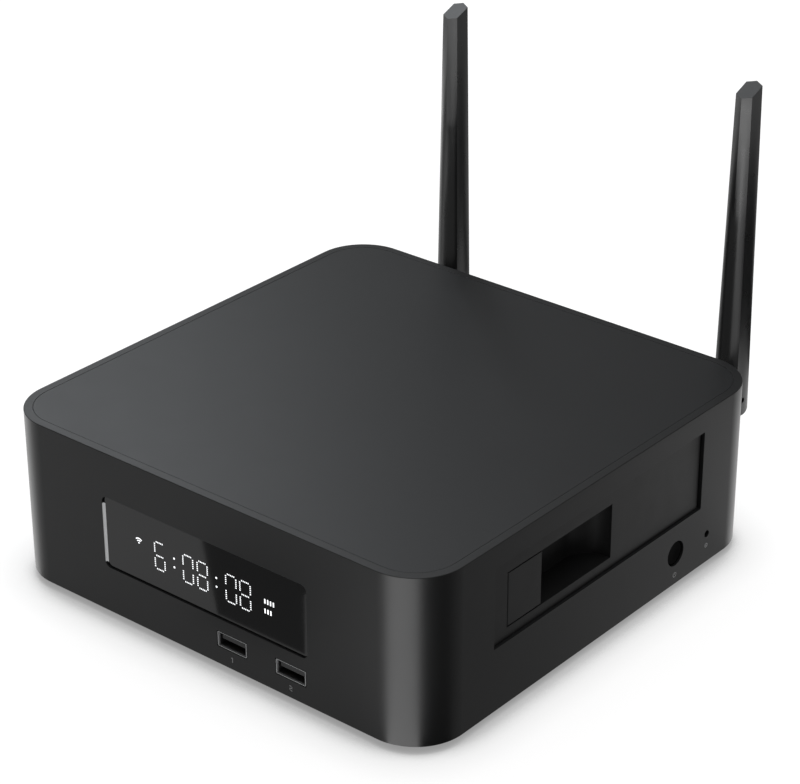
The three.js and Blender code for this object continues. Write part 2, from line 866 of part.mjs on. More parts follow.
function leverPin() {
  const [z0, z1] = [recessBottom - pinSeatDepth, recessTop + pinSeatDepth];
  return prismZ(circle(pinRadius, pivotX, pivotY), z0, z1, pinFacets);
}

// Cradle for the drive: a floor with windows, low side walls with screw holes, and runners outside.

function cradleWindows() {
  const usable = bezelBack - cradleEnd - (cradleWindowCount + 1) * cradleRibWidth;
  const length = usable / cradleWindowCount;
  const width = driveWidth - 2 * (padWidth + padInset);
  return row(cradleWindowCount, length + cradleRibWidth, (bezelBack + cradleEnd) / 2).map((x) => {
    const outline = roundedRectangle(length, width, cradleWindowRadius, x, doorCentre);
    return prismZ(outline, cradleBottom - overrun, cradleTop + overrun);
  });
}

function trayCradle() {
  const front = bezelBack - seatGap;
  const [y0, y1] = [doorCentre - cradleHalf, doorCentre + cradleHalf];
  const floor = box(cradleEnd, front, y0, y1, cradleBottom, cradleTop);
  const top = cradleTop + cradleSideHeight;
  const pocketSide = pocketBack - seatGap;
  const walls = [
    box(cradleEnd, pocketSide, y0, y0 + cradleWall, cradleBottom, top),
    box(cradleEnd, front, y1 - cradleWall, y1, cradleBottom, top),
  ];
  const [r0, r1] = [runnerMiddle - runnerHeight / 2, runnerMiddle + runnerHeight / 2];
  const runners = [
    box(cradleEnd, pocketSide, y0 - runnerReach, y0 + cradleWall / 2, r0, r1),
    box(cradleEnd, front, y1 - cradleWall / 2, y1 + runnerReach, r0, r1),
  ];
  const holes = [driveHoleFirst, driveHoleFirst + driveHoleSpan].flatMap((place) =>
    [y0, y1].map((y) => {
      const outline = circle(driveHoleRadius, driveRear + place, cradleTop + padThickness + driveHoleRise);
      return prismY(outline, y - cradleWall - overrun, y + cradleWall + overrun, pinFacets);
    }),
  );
  return cut(join(floor, walls, runners), cradleWindows(), holes);
}

// Soft strip that the drive lies on.
function drivePad(side) {
  const middle = doorCentre + side * (driveWidth / 2 - padInset / 2 - padWidth / 2);
  const [x0, x1] = [cradleEnd + padInset, driveFront - padInset];
  const z0 = cradleTop + seatGap;
  return box(x0, x1, middle - padWidth / 2, middle + padWidth / 2, z0, z0 + padThickness);
}

// Guide rail with a groove for the cradle's runner, flared where the runner enters.
function guideRail(side) {
  const y = (place) => doorCentre + side * place;
  const span = (a, b) => [Math.min(y(a), y(b)), Math.max(y(a), y(b))];
  const [z0, z1] = [runnerMiddle - railHeight / 2, runnerMiddle + railHeight / 2];
  const [x0, x1] = [cradleEnd, pocketBack - runGap];
  const body = box(x0, x1, ...span(railInner, railOuter), z0, z1);
  const half = runnerHeight / 2 + railGrooveGap;
  const depth = span(railInner - overrun, cradleHalf + runnerReach + railGrooveGap);
  const groove = box(x0 - overrun, x1 + overrun, ...depth, runnerMiddle - half, runnerMiddle + half);
  const flare = polygon([
    [x1 - railLeadIn, runnerMiddle - half],
    [x1 + overrun, runnerMiddle - half - railLeadIn / 2],
    [x1 + overrun, runnerMiddle + half + railLeadIn / 2],
    [x1 - railLeadIn, runnerMiddle + half],
  ]);
  return cut(body, groove, prismY(flare, ...depth));
}

// Drive cage: floor, sides with flanges turned in, and a rear wall that carries the drive's connector.

function cageFloorWindows() {
  const usable = cageFront - cageRear - (cageWindowCount + 1) * cageWindowMargin;
  const length = usable / cageWindowCount;
  const width = 2 * (cageInner - cageWindowMargin);
  return row(cageWindowCount, length + cageWindowMargin, (cageFront + cageRear) / 2).map((x) => {
    const outline = roundedRectangle(length, width, cageWindowRadius, x, doorCentre);
    return prismZ(outline, cageFloorBottom - overrun, cageFloorTop + overrun);
  });
}

function driveCage() {
  const [y0, y1] = [doorCentre - cageOuter, doorCentre + cageOuter];
  const top = cageTop;
  const floor = box(cageRear, cageFront, y0, y1, cageFloorBottom, cageFloorTop);
  const sides = [
    box(cageRear, cageFront, y0, y0 + cageSheet, cageFloorBottom, top),
    box(cageRear, cageFront, y1 - cageSheet, y1, cageFloorBottom, top),
    box(cageRear, cageFront, y0, y0 + cageFlange, top - cageSheet, top),
    box(cageRear, cageFront, y1 - cageFlange, y1, top - cageSheet, top),
  ];
  const rear = box(cageRear, cageRear + cageSheet, y0, y1, cageFloorBottom, top);
  const slotMiddle = cageFloorTop + cageSlotRise + cageSlotHeight / 2;
  const slots = row(cageSlotCount, cageSlotPitch, (cageFront + cageRear) / 2).map((x) => {
    const outline = roundedRectangle(cageSlotWidth, cageSlotHeight, cageSlotWidth / 2, x, slotMiddle);
    return prismY(outline, y0 - overrun, y1 + overrun);
  });
  const ribbonMiddle = sataBottom + sataBoardHeight - ribbonWindowHeight / 2;
  const ribbonWindow = box(
    cageRear - overrun,
    cageRear + cageSheet + overrun,
    doorCentre - ribbonWindowWidth / 2,
    doorCentre + ribbonWindowWidth / 2,
    ribbonMiddle - ribbonWindowHeight / 2,
    ribbonMiddle + ribbonWindowHeight / 2,
  );
  return cut(join(floor, sides, rear), cageFloorWindows(), slots, ribbonWindow);
}

// Drive connector: a block with a ledge and a tongue, on a board against the cage's rear wall.

const sataBottom = cradleTop + sataRise;
const sataBoardBack = cageRear + cageSheet + seatGap;
const sataBoardFront = sataBoardBack + boardThickness;

function sataBoard() {
  const half = sataBoardWidth / 2;
  return box(
    sataBoardBack,
    sataBoardFront,
    doorCentre - half,
    doorCentre + half,
    sataBottom,
    sataBottom + sataBoardHeight,
  );
}

function sataConnector() {
  const middleY = doorCentre + sataOffset;
  const [y0, y1] = [middleY - sataWidth / 2, middleY + sataWidth / 2];
  const face = driveRear - seatGap;
  const back = sataBoardFront + seatGap;
  const z0 = sataBottom;
  const block = box(back, face - sataLedge + seatGap, y0, y1, z0, z0 + sataHeight);
  const middle = z0 + sataHeight / 2;
  const tongue = box(
    back,
    face,
    y0 + sataLedge,
    y1 - sataLedge,
    middle - sataTongueThickness / 2,
    middle + sataTongueThickness / 2,
  );
  return join(block, tongue);
}

// Flat ribbon as a strip that leaves a board level, turns down and lies on the main board.
// The outline is drawn from its start towards larger first values.
function ribbonSection(start, height, way) {
  const outer = new THREE.Shape();
  const end = boardSeat + ribbonThickness;
  const at = (distance) => start + way * distance;
  const drop = ribbonStandOff + ribbonBend;
  outer.moveTo(at(0), height);
  outer.lineTo(at(drop - ribbonThickness), height);
  outer.lineTo(at(drop), height - ribbonThickness);
  outer.lineTo(at(drop), end);
  outer.lineTo(at(drop + ribbonFoot), end);
  outer.lineTo(at(drop + ribbonFoot), boardSeat);
  outer.lineTo(at(drop - ribbonThickness), boardSeat);
  outer.lineTo(at(drop - ribbonThickness), height - 2 * ribbonThickness);
  outer.lineTo(at(drop - 2 * ribbonThickness), height - ribbonThickness);
  outer.lineTo(at(0), height - ribbonThickness);
  return outer;
}

function displayRibbon() {
  const height = windowBottom + windowHeight / 2;
  const half = ribbonWidth / 2;
  return prismX(ribbonSection(displayBoardBack + seatGap, height, 1), -half, half);
}

function sataRibbon() {
  const height = sataBottom + sataBoardHeight - ribbonWindowHeight / 2 + ribbonThickness / 2;
  const half = ribbonWidth / 2;
  return prismY(ribbonSection(sataBoardBack - seatGap, height, -1), doorCentre - half, doorCentre + half);
}

// Rear panel with a cut-out for each port, the jacks' holes and the fan's grille.

function portBoxes() {
  const usbBottom = (usbHeight - usbLipHeight) / 2;
  return [
    [lanCentre, lanWidth, 0, lanHeight],
    ...hdmiCentres.map((x) => [x, hdmiWidth, 0, hdmiHeight]),
    [rearUsbCentre, usbLipWidth, usbBottom, usbLipHeight],
    [opticalCentre, opticalSize, 0, opticalSize],
    [audioCentre, audioWidth, 0, audioWidth],
    [inletCentre, inletWidth, 0, inletHeight],
  ];
}

function grilleSlots() {
  const count = 2 * Math.floor((grilleRadius - grilleSlot / 2) / grillePitch) + 1;
  return row(count, grillePitch).map((x) => {
    const half = Math.sqrt(grilleRadius ** 2 - x ** 2);
    const outline = roundedRectangle(grilleSlot, 2 * half, grilleSlot / 2, x, fanCentreRise);
    return prismY(outline, rearPanelInner - overrun, rearPanelOuter + overrun);
  });
}

function rearPanel() {
  const middle = rearOpeningBottom + rearOpeningHeight / 2;
  const width = rearOpeningWidth + 2 * rearPanelLap;
  const height = rearOpeningHeight + 2 * rearPanelLap;
  const plate = prismY(
    roundedRectangle(width, height, rearOpeningRadius, 0, middle),
    rearPanelInner,
    rearPanelOuter,
  );
  const ports = portBoxes().map(([x, w, bottom, h]) =>
    box(
      x - w / 2 - portEdgeGap,
      x + w / 2 + portEdgeGap,
      rearPanelInner - overrun,
      rearPanelOuter + overrun,
      boardSeat + bottom - portEdgeGap,
      boardSeat + bottom + h + portEdgeGap,
    ),
  );
  const jackHoles = [-1, 1].map((side) =>
    prismY(
      circle(jackRadius + portEdgeGap, (side * antennaSpacing) / 2, antennaHeight),
      rearPanelInner - overrun,
      rearPanelOuter + overrun,
      smallRoundFacets,
    ),
  );
  return cut(plate, ports, jackHoles, grilleSlots());
}

// Rear ports. Each stands on the main board, with its face just proud of the rear panel.

const portFace = rearPanelOuter + portRim;

function lanJack() {
  const half = lanWidth / 2;
  const top = boardSeat + lanHeight;
  const body = box(lanCentre - half, lanCentre + half, portFace - lanLength, portFace, boardSeat, top);
  const inner = half - lanWall;
  const [y0, y1] = [portFace - lanMouthDepth, portFace + overrun];
  const [z0, z1] = [boardSeat + lanWall + lanLatchHeight, top - lanWall];
  const mouth = box(lanCentre - inner, lanCentre + inner, y0, y1, z0, z1);
  const halfLatch = lanLatchWidth / 2;
  const latch = box(lanCentre - halfLatch, lanCentre + halfLatch, y0, y1, boardSeat + lanWall, z0 + overrun);
  return cut(body, mouth, latch);
}

function hdmiOutline(centre, inset) {
  const half = hdmiWidth / 2 - inset;
  const [z0, z1] = [boardSeat + inset, boardSeat + hdmiHeight - inset];
  const rise = hdmiTaper;
  return polygon([
    [centre - half + rise, z0],
    [centre + half - rise, z0],
    [centre + half, z0 + rise],
    [centre + half, z1],
    [centre - half, z1],
    [centre - half, z0 + rise],
  ]);
}

function hdmiPort(centre) {
  const body = prismY(hdmiOutline(centre, 0), portFace - hdmiLength, portFace);
  const heel = portFace - hdmiMouthDepth;
  const mouth = prismY(hdmiOutline(centre, hdmiWall), heel, portFace + overrun);
  const half = hdmiWidth / 2 - hdmiTaper;
  const middle = boardSeat + hdmiHeight / 2;
  const tongue = box(
    centre - half,
    centre + half,
    heel - overrun,
    portFace - portRim,
    middle - hdmiTongueThickness / 2,
    middle + hdmiTongueThickness / 2,
  );
  return join(cut(body, mouth), tongue);
}

function opticalPort() {
  const half = opticalSize / 2;
  const body = box(
    opticalCentre - half,
    opticalCentre + half,
    portFace - opticalLength,
    portFace,
    boardSeat,
    boardSeat + opticalSize,
  );
  const middle = boardSeat + half;
  const outline = roundedRectangle(opticalMouth, opticalMouth, portRim, opticalCentre, middle);
  return cut(body, prismY(outline, portFace - opticalMouthDepth, portFace + overrun));
}

function audioJack() {
  const half = audioWidth / 2;
  const middle = boardSeat + half;
  const body = box(
    audioCentre - half,
    audioCentre + half,
    portFace - audioLength,
    rearPanelInner - seatGap,
    boardSeat,
    boardSeat + audioWidth,
  );
  const rimCircle = circle(audioRim, audioCentre, middle);
  const rim = prismY(rimCircle, rearPanelInner - overrun, portFace, smallRoundFacets);
  const floor = portFace - audioLength + overrun;
  const bore = prismY(circle(audioBore, audioCentre, middle), floor, portFace + overrun, smallRoundFacets);
  return cut(join(body, rim), bore);
}

// Power inlet: a block with a round bore and a centre pin.
function powerInlet() {
  const half = inletWidth / 2;
  const middle = boardSeat + inletHeight - half;
  const body = box(
    inletCentre - half,
    inletCentre + half,
    portFace - inletLength,
    portFace,
    boardSeat,
    boardSeat + inletHeight,
  );
  const floor = portFace - inletLength + overrun;
  const boreCircle = circle(inletBore, inletCentre, middle);
  const bore = prismY(boreCircle, floor, portFace + overrun, smallRoundFacets);
  const pinCircle = circle(inletPin, inletCentre, middle);
  const pin = prismY(pinCircle, floor - overrun / 2, portFace - portRim, pinFacets);
  return join(cut(body, bore), pin);
}

// Fan: frame with a bore, a motor plate on struts at the outlet side, and a bladed rotor.

const fanOutlet = rearPanelInner - seatGap;
const fanInlet = fanOutlet - fanDepth;

function fanFrame() {
  const outline = roundedRectangle(fanSize, fanSize, fanCornerRadius, 0, fanCentreRise);
  const ring = cut(
    prismY(outline, fanInlet, fanOutlet),
    prismY(circle(fanBore, 0, fanCentreRise), fanInlet - overrun, fanOutlet + overrun, boreFacets),
  );
  const plate = prismY(circle(fanHub, 0, fanCentreRise), fanOutlet - fanPlate, fanOutlet, roundFacets);
  const struts = Array.from({ length: fanStrutCount }, (_, i) => {
    const angle = ((i + 1 / 2) / fanStrutCount) * Math.PI * 2;
    const length = fanBore + fanStrut / 2;
    const strut = new THREE.BoxGeometry(length, fanPlate, fanStrut).translate(length / 2, 0, 0);
    return solid(strut.rotateY(angle).translate(0, fanOutlet - fanPlate / 2, fanCentreRise));
  });
  const spindleCircle = circle(fanSpindle, 0, fanCentreRise);
  const spindle = prismY(spindleCircle, fanInlet + fanPlate, fanOutlet - fanPlate / 2, pinFacets);
  return join(ring, plate, struts, spindle);
}

function fanRotor() {
  const back = fanOutlet - fanPlate - fanHubGap;
  const front = fanInlet + fanHubGap;
  const profile = [
    [0, front],
    [fanHub - fanHubGap, front],
    [fanHub, front + fanHubGap],
    [fanHub, back],
    [fanSpindle + runGap, back],
    [fanSpindle + runGap, fanInlet + fanPlate - runGap],
    [0, fanInlet + fanPlate - runGap],
  ];
  const hub = turnedY(profile, 0, fanCentreRise, roundFacets);
  const middle = (front + back) / 2;
  const blades = Array.from({ length: fanBladeCount }, (_, i) => {
    const length = fanBore - fanTipGap - fanHub + fanBladeRoot;
    const blade = new THREE.BoxGeometry(length, fanBladeThickness, fanBladeChord);
    blade.rotateX(fanBladePitch).translate(fanHub - fanBladeRoot + length / 2, 0, 0);
    blade.rotateY((i / fanBladeCount) * Math.PI * 2).translate(0, middle, fanCentreRise);
    return solid(blade);
  });
  const bound = prismY(circle(fanBore - fanTipGap, 0, fanCentreRise), front, back, boreFacets);
  return join(hub, join(blades).intersect(bound));
}

// Antennas. Each has a threaded jack in the rear panel, a ribbed sleeve nut on the jack,
// a base that swivels in the nut, and a six-sided blade on a hinge pin through the base's knuckle.

const hexFace = rearPanelOuter + seatGap;
const nutStart = hexFace + jackHexThickness + seatGap;
const jackEnd = nutStart + jackLength;
const nutEnd = jackEnd + runGap + nutEndWall;
const baseStart = nutEnd + runGap;
const baseEnd = hingeY - bladeHalfDepth - runGap;

function antennaJack(x) {
  const bodyEnd = rearPanelInner - seatGap;
  const profile = [
    [0, bodyEnd - jackBodyLength],
    [jackBodyRadius, bodyEnd - jackBodyLength],
    [jackBodyRadius, bodyEnd],
    [jackRadius, bodyEnd],
    [jackRadius, jackEnd - portRim],
    [jackRadius - portRim, jackEnd],
    [0, jackEnd],
  ];
  const hexagon = circle(jackHexRadius, x, antennaHeight);
  const hex = prismY(hexagon, hexFace, hexFace + jackHexThickness, hexFacets);
  return join(turnedY(profile, x, antennaHeight, smallRoundFacets), hex);
}

function ribbedCircle(x, z) {
  const points = Array.from({ length: 2 * nutRibCount }, (_, i) => {
    const angle = (i / (2 * nutRibCount)) * Math.PI * 2;
    const radius = nutRadius - (i % 2) * nutRibDepth;
    return [x + radius * Math.cos(angle), z + radius * Math.sin(angle)];
  });
  return polygon(points);
}

function antennaNut(x) {
  const bore = circle(nutRadius - nutWall, x, antennaHeight);
  const neck = circle(spigotRadius + runGap, x, antennaHeight);
  return cut(
    prismY(ribbedCircle(x, antennaHeight), nutStart, nutEnd),
    prismY(bore, nutStart - overrun, nutEnd - nutEndWall, smallRoundFacets),
    prismY(neck, nutStart, nutEnd + overrun, smallRoundFacets),
  );
}

function antennaBase(x) {
  const profile = [
    [0, baseStart - spigotLength],
    [spigotRadius, baseStart - spigotLength],
    [spigotRadius, baseStart],
    [baseRadius - baseChamfer, baseStart],
    [baseRadius, baseStart + baseChamfer],
    [baseRadius, baseEnd - baseChamfer],
    [baseRadius - baseChamfer, baseEnd],
    [0, baseEnd],
  ];
  const barrel = turnedY(profile, x, antennaHeight, roundFacets);
  const half = knuckleThickness / 2;
  const tongue = new THREE.Shape();
  tongue.moveTo(baseEnd - baseChamfer, antennaHeight - knuckleRadius);
  tongue.lineTo(hingeY, antennaHeight - knuckleRadius);
  tongue.absarc(hingeY, antennaHeight, knuckleRadius, -Math.PI / 2, Math.PI / 2);
  tongue.lineTo(baseEnd - baseChamfer, antennaHeight + knuckleRadius);
  const knuckle = prismX(tongue, x - half, x + half, smallRoundFacets);
  const bore = circle(hingePinRadius + pinGap, hingeY, antennaHeight);
  return cut(join(barrel, knuckle), prismX(bore, x - half - overrun, x + half + overrun, smallRoundFacets));
}

function antennaPin(x) {
  const half = bladeRootWidth / 2 - seatGap;
  return prismX(circle(hingePinRadius, hingeY, antennaHeight), x - half, x + half, smallRoundFacets);
}

// Six-sided section with flat sides to left and right and a point in front and behind,
// each corner cut back a little, as a ring about the blade's middle line.
function bladeRing(x, width, flat, point, height, slope) {
  const corners = [
    [-width / 2, -flat / 2],
    [0, -flat / 2 - point],
    [width / 2, -flat / 2],
    [width / 2, flat / 2],
    [0, flat / 2 + point],
    [-width / 2, flat / 2],
  ].map(([cx, cy]) => new THREE.Vector2(cx, cy));
  const step = (from, to) => from.clone().add(to.clone().sub(from).setLength(bladeCornerCut));
  return corners
    .flatMap((corner, i) => [step(corner, corners[(i + 5) % 6]), step(corner, corners[(i + 1) % 6])])
    .map(({ x: dx, y: dy }) => [x + dx, hingeY + dy, height + slope * dy]);
}

function antennaBlade(x) {
  const foot = antennaHeight - bladeHalfDepth - overrun;
  const tip = antennaHeight + bladeLength;
  const body = loft(
    bladeRing(x, bladeRootWidth, bladeRootFlat, bladeRootPoint, foot, 0),
    bladeRing(x, bladeTipWidth, bladeTipFlat, bladeTipPoint, tip, bladeTipSlope),
  );
  const heel = new THREE.Shape();
  heel.moveTo(hingeY - bladeHalfDepth - overrun, tip + bladeHalfDepth);
  heel.lineTo(hingeY - bladeHalfDepth - overrun, antennaHeight);
  heel.lineTo(hingeY - bladeHalfDepth, antennaHeight);
  heel.absarc(hingeY, antennaHeight, bladeHalfDepth, Math.PI, Math.PI * 2);
  heel.lineTo(hingeY + bladeHalfDepth + overrun, antennaHeight);
  heel.lineTo(hingeY + bladeHalfDepth + overrun, tip + bladeHalfDepth);
  const half = bladeRootWidth / 2 + overrun;
  const rounded = body.intersect(prismX(heel, x - half, x + half, smallRoundFacets));
  const clear = knuckleRadius + runGap;
  const low = bladeHalfDepth + 2 * overrun;
  const slot = new THREE.Shape();
  slot.moveTo(hingeY - low, antennaHeight + clear);
  slot.lineTo(hingeY - low, antennaHeight - low);
  slot.lineTo(hingeY + clear, antennaHeight - low);
  slot.lineTo(hingeY + clear, antennaHeight);
  slot.absarc(hingeY, antennaHeight, clear, 0, Math.PI / 2);
  const halfSlot = knuckleThickness / 2 + runGap;
  const bore = circle(hingePinRadius + pinGap, hingeY, antennaHeight);
  return cut(
    rounded,
    prismX(slot, x - halfSlot, x + halfSlot, pocketFacets),
    prismX(bore, x - half, x + half, smallRoundFacets),
  );
}

// Power button and reset plunger: a cap in its hole, a flange behind the wall and a short stem.
// The switches behind them stand on the main board, clear of the stems by the travel.

function pushPiece(radius, inset, flangeReach, y, z) {
  const face = rightFace - inset;
  const flangeFace = innerRight - seatGap;
  const flangeBack = flangeFace - buttonFlange;
  const stem = Math.min(stemRadius, radius);
  const profile = [
    [0, flangeBack - stemLength],
    [stem, flangeBack - stemLength],
    [stem, flangeBack],
    [radius + flangeReach, flangeBack],
    [radius + flangeReach, flangeFace],
    [radius, flangeFace],
    [radius, face - buttonGap],
    [radius - buttonGap, face],
    [0, face],
  ];
  return turnedX(profile, y, z, smallRoundFacets);
}

function switchBody(width, travel, y, z) {
  const stemEnd = innerRight - seatGap - buttonFlange - stemLength;
  const face = stemEnd - travel - seatGap;
  const actuator = prismX(circle(stemRadius, y, z), face - 2 * switchActuator, face, pinFacets);
  const body = box(
    face - switchActuator - switchDepth,
    face - switchActuator,
    y - width / 2,
    y + width / 2,
    boardSeat,
    z + stemRadius + switchActuator,
  );
  return join(body, actuator);
}

// The whole player

const player = new THREE.Group();

function add(name, body, look, group = player) {
  const mesh = new THREE.Mesh(geometryOf(body), look);
  mesh.name = name;
  group.add(mesh);
}

add("housing_shell", housingShell(), satinBlack);
add("top_panel", topPanel(), satinCharcoal);
add("bottom_plate", bottomPlate(), blackSteel);
for (const [name, x, y] of footPlaces()) add(name, foot(x, y), rubberBlack);
add("display_window", displayWindow(), tintedWindow);
add("display_tube", displayTube(), displayGlass);
add("display_board", displayBoard(), boardGreen);
add("display_ribbon", displayRibbon(), ribbonGrey);
add("main_board", mainBoard(), boardGreen);
add("processor", processor(), chipBlack);
add("heat_sink", heatSink(), finAluminium);

for (const [side, centre] of [["left", usbCentreLeft], ["right", usbCentreRight]]) {
  add(`usb_shell_${side}`, usbShell(centre, frontFace + seatGap, 1), brightSteel);
  add(`usb_tongue_${side}`, usbTongue(centre, frontFace + seatGap, 1), insulatorGrey);
}

add("rear_panel", rearPanel(), blackSteel);
add("lan_jack", lanJack(), platedSteel);
add("hdmi_port_out", hdmiPort(hdmiCentres[0]), platedSteel);
add("hdmi_port_in", hdmiPort(hdmiCentres[1]), platedSteel);
add("usb_shell_rear", usbShell(rearUsbCentre, portFace, -1), brightSteel);
add("usb_tongue_rear", usbTongue(rearUsbCentre, portFace, -1), insulatorGrey);
add("optical_port", opticalPort(), insulatorBlack);
add("audio_jack", audioJack(), insulatorBlack);
add("power_inlet", powerInlet(), insulatorBlack);
add("fan_frame", fanFrame(), mouldedBlack);
add("fan_rotor", fanRotor(), mouldedBlack);

add("drive_cage", driveCage(), platedSteel);
add("guide_rail_front", guideRail(-1), railWhite);
add("guide_rail_rear", guideRail(1), railWhite);
add("sata_board", sataBoard(), boardGreen);
add("sata_connector", sataConnector(), insulatorBlack);
add("sata_ribbon", sataRibbon(), ribbonGrey);
add("tray_bezel", trayBezel(), mouldedBlack);
add("tray_cradle", trayCradle(), mouldedBlack);
add("drive_pad_front", drivePad(-1), rubberBlack);
add("drive_pad_rear", drivePad(1), rubberBlack);
add("lever_pin", leverPin(), brightSteel);
add("latch_lever", latchLever(), mouldedBlack);

const power = [powerCentre, powerRise];
const reset = [resetCentre, resetRise];
add("power_button", pushPiece(powerRadius, powerInset, powerFlangeReach, ...power), glossBlack);
add("power_switch", switchBody(powerSwitchWidth, powerTravel, ...power), insulatorBlack);
add("reset_plunger", pushPiece(resetRadius, resetInset, resetFlangeReach, ...reset), mouldedBlack);
add("reset_switch", switchBody(resetSwitchWidth, resetTravel, ...reset), insulatorBlack);

for (const [side, x] of [["left", -antennaSpacing / 2], ["right", antennaSpacing / 2]]) {
  add(`antenna_jack_${side}`, antennaJack(x), brass);
  add(`antenna_nut_${side}`, antennaNut(x), brass);
  add(`antenna_base_${side}`, antennaBase(x), mouldedBlack);
  add(`antenna_pin_${side}`, antennaPin(x), brightSteel);
  add(`antenna_blade_${side}`, antennaBlade(x), mouldedBlack);
}

// The sizes above are measured from the housing's middle and lower edge. The origin is moved from
// there to the middle of the whole object's outline, at the height of the feet.
const extent = new THREE.Box3().setFromObject(player);
const middle = extent.getCenter(new THREE.Vector3());
player.position.set(-middle.x, -middle.y, -extent.min.z);

export default player;
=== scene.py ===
import json
import math

import bmesh
import bpy
from mathutils import Matrix, Vector

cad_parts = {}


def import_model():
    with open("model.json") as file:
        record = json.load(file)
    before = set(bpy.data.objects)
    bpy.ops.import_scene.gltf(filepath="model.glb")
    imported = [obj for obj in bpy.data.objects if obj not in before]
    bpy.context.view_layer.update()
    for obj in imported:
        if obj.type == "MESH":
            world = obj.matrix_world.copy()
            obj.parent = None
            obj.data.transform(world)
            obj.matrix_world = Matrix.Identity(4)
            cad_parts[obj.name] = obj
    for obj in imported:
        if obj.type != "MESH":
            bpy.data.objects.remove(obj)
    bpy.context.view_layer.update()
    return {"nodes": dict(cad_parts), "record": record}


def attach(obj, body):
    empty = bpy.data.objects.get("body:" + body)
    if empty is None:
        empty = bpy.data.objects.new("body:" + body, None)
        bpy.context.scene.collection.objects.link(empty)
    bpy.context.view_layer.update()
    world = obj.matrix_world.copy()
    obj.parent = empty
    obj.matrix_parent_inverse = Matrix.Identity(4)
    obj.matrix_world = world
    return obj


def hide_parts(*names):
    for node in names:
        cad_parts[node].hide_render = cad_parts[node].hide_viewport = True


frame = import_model()
nodes = frame["nodes"]
scene = bpy.context.scene
body_of = {
    member: body
    for body, members in frame["record"]["behaviour"]["bodies"].items() for member in members
}

# Pieces are drawn in millimetres from the housing's middle and lower edge, and moved to the row
# frame. The front looks along -y and the side with the tray along +x.
MM = 0.001
SHIFT = Vector((0, -16.6847, 3))
NEW_WELD = 1e-7  # metres, for the pieces drawn here
NODE_WELD = 1e-6  # metres, for the nodes that stay
LEAST_RADIUS = 0.001


def place(point):
    return (Vector(point) + SHIFT) * MM


# ---- meshes -------------------------------------------------------------------------------------


def linked(name, data):
    obj = bpy.data.objects.new(name, data)
    scene.collection.objects.link(obj)
    return obj


def mesh_object(name, points, faces):
    """New object from points in millimetres, with its faces turned outwards."""
    mesh = bpy.data.meshes.new(name)
    mesh.from_pydata([place(p) for p in points], [], faces)
    bm = bmesh.new()
    bm.from_mesh(mesh)
    bmesh.ops.remove_doubles(bm, verts=bm.verts, dist=NEW_WELD)
    bmesh.ops.recalc_face_normals(bm, faces=bm.faces)
    bm.to_mesh(mesh)
    bm.free()
    return linked(name, mesh)


def to_space(axis, a, b, t):
    """A point of an outline drawn across an axis, at place t along it."""
    return {"x": (t, a, b), "y": (a, t, b), "z": (a, b, t)}[axis]


def arc(radius, start, end, middle, steps=4):
    """Points of a round from one direction in degrees to another."""
    turns = [math.radians(start + (end - start) * i / steps) for i in range(steps + 1)]
    return [(middle[0] + radius * math.cos(t), middle[1] + radius * math.sin(t)) for t in turns]


def circle(radius, middle, facets):
    return arc(radius, 0, 360, middle, facets)[:-1]


def oblong(a0, a1, b0, b1):
    """Outline of a rectangle by its limits."""
    return [(a0, b0), (a1, b0), (a1, b1), (a0, b1)]


def rounded(width, height, radius, middle, facets=6):
    """Outline of a rectangle with round corners."""
    radius = max(min(radius, width / 2, height / 2), LEAST_RADIUS)
    points = []
    for quarter, (sx, sy) in enumerate([(1, -1), (1, 1), (-1, 1), (-1, -1)]):
        corner = (middle[0] + sx * (width / 2 - radius), middle[1] + sy * (height / 2 - radius))
        points += arc(radius, 90 * quarter - 90, 90 * quarter, corner, facets)
    return points


def skin(rings, count, closed=False):
    """Faces between rings of as many points each."""
    faces = []
    for k in range(rings if closed else rings - 1):
        here, there = k * count, ((k + 1) % rings) * count
        for i in range(count):
            j = (i + 1) % count
            faces.append((here + i, here + j, there + j, there + i))
    if not closed:
        faces.append(tuple(range(count)))
        faces.append(tuple(range((rings - 1) * count, rings * count)))
    return faces


def loft(name, rings, axis, places, closed=False):
    """Skin over outlines with as many points each. A closed one is a ring, the others have caps."""
    points = [to_space(axis, a, b, t) for ring, t in zip(rings, places) for a, b in ring]
    return mesh_object(name, points, skin(len(rings), len(rings[0]), closed))


def prism(name, outline, axis, start, end):
    """Block with the same outline from one place along an axis to another."""
    return loft(name, [outline, outline], axis, [start, end])


def swept(name, size, radius, middle, profile, axis, facets=6, closed=True):
    """Rounded rectangle swept along a profile of (inset across, inset up, place) points."""
    rings = [
        rounded(size[0] - 2 * ia, size[1] - 2 * ib, radius - min(ia, ib), middle, facets)
        for ia, ib, _ in profile
    ]
    return loft(name, rings, axis, [t for _, _, t in profile], closed)


def turned(name, profile, axis, middle, facets):
    """Body turned from (radius, place) points about a line along an axis."""
    rings = [circle(max(r, LEAST_RADIUS), middle, facets) for r, _ in profile]
    return loft(name, rings, axis, [t for _, t in profile])


def hoop(name, profile, axis, middle, facets=40):
    """Ring turned from a closed outline of (radius, place) points."""
    rings = [circle(r, middle, facets) for r, _ in profile]
    return loft(name, rings, axis, [t for _, t in profile], closed=True)


def tiles(name, outlines, axis, face, depth):
    """Many small flat tiles as one mesh, between a face and its depth behind it."""
    points, faces = [], []
    for outline in outlines:
        start, count = len(points), len(outline)
        points += [to_space(axis, a, b, face) for a, b in outline]
        points += [to_space(axis, a, b, face + depth) for a, b in outline]
        faces.append(tuple(range(start, start + count)))
        faces.append(tuple(range(start + count, start + 2 * count)))
        for i in range(count):
            j = (i + 1) % count
            faces.append((start + i, start + j, start + count + j, start + count + i))
    return mesh_object(name, points, faces)


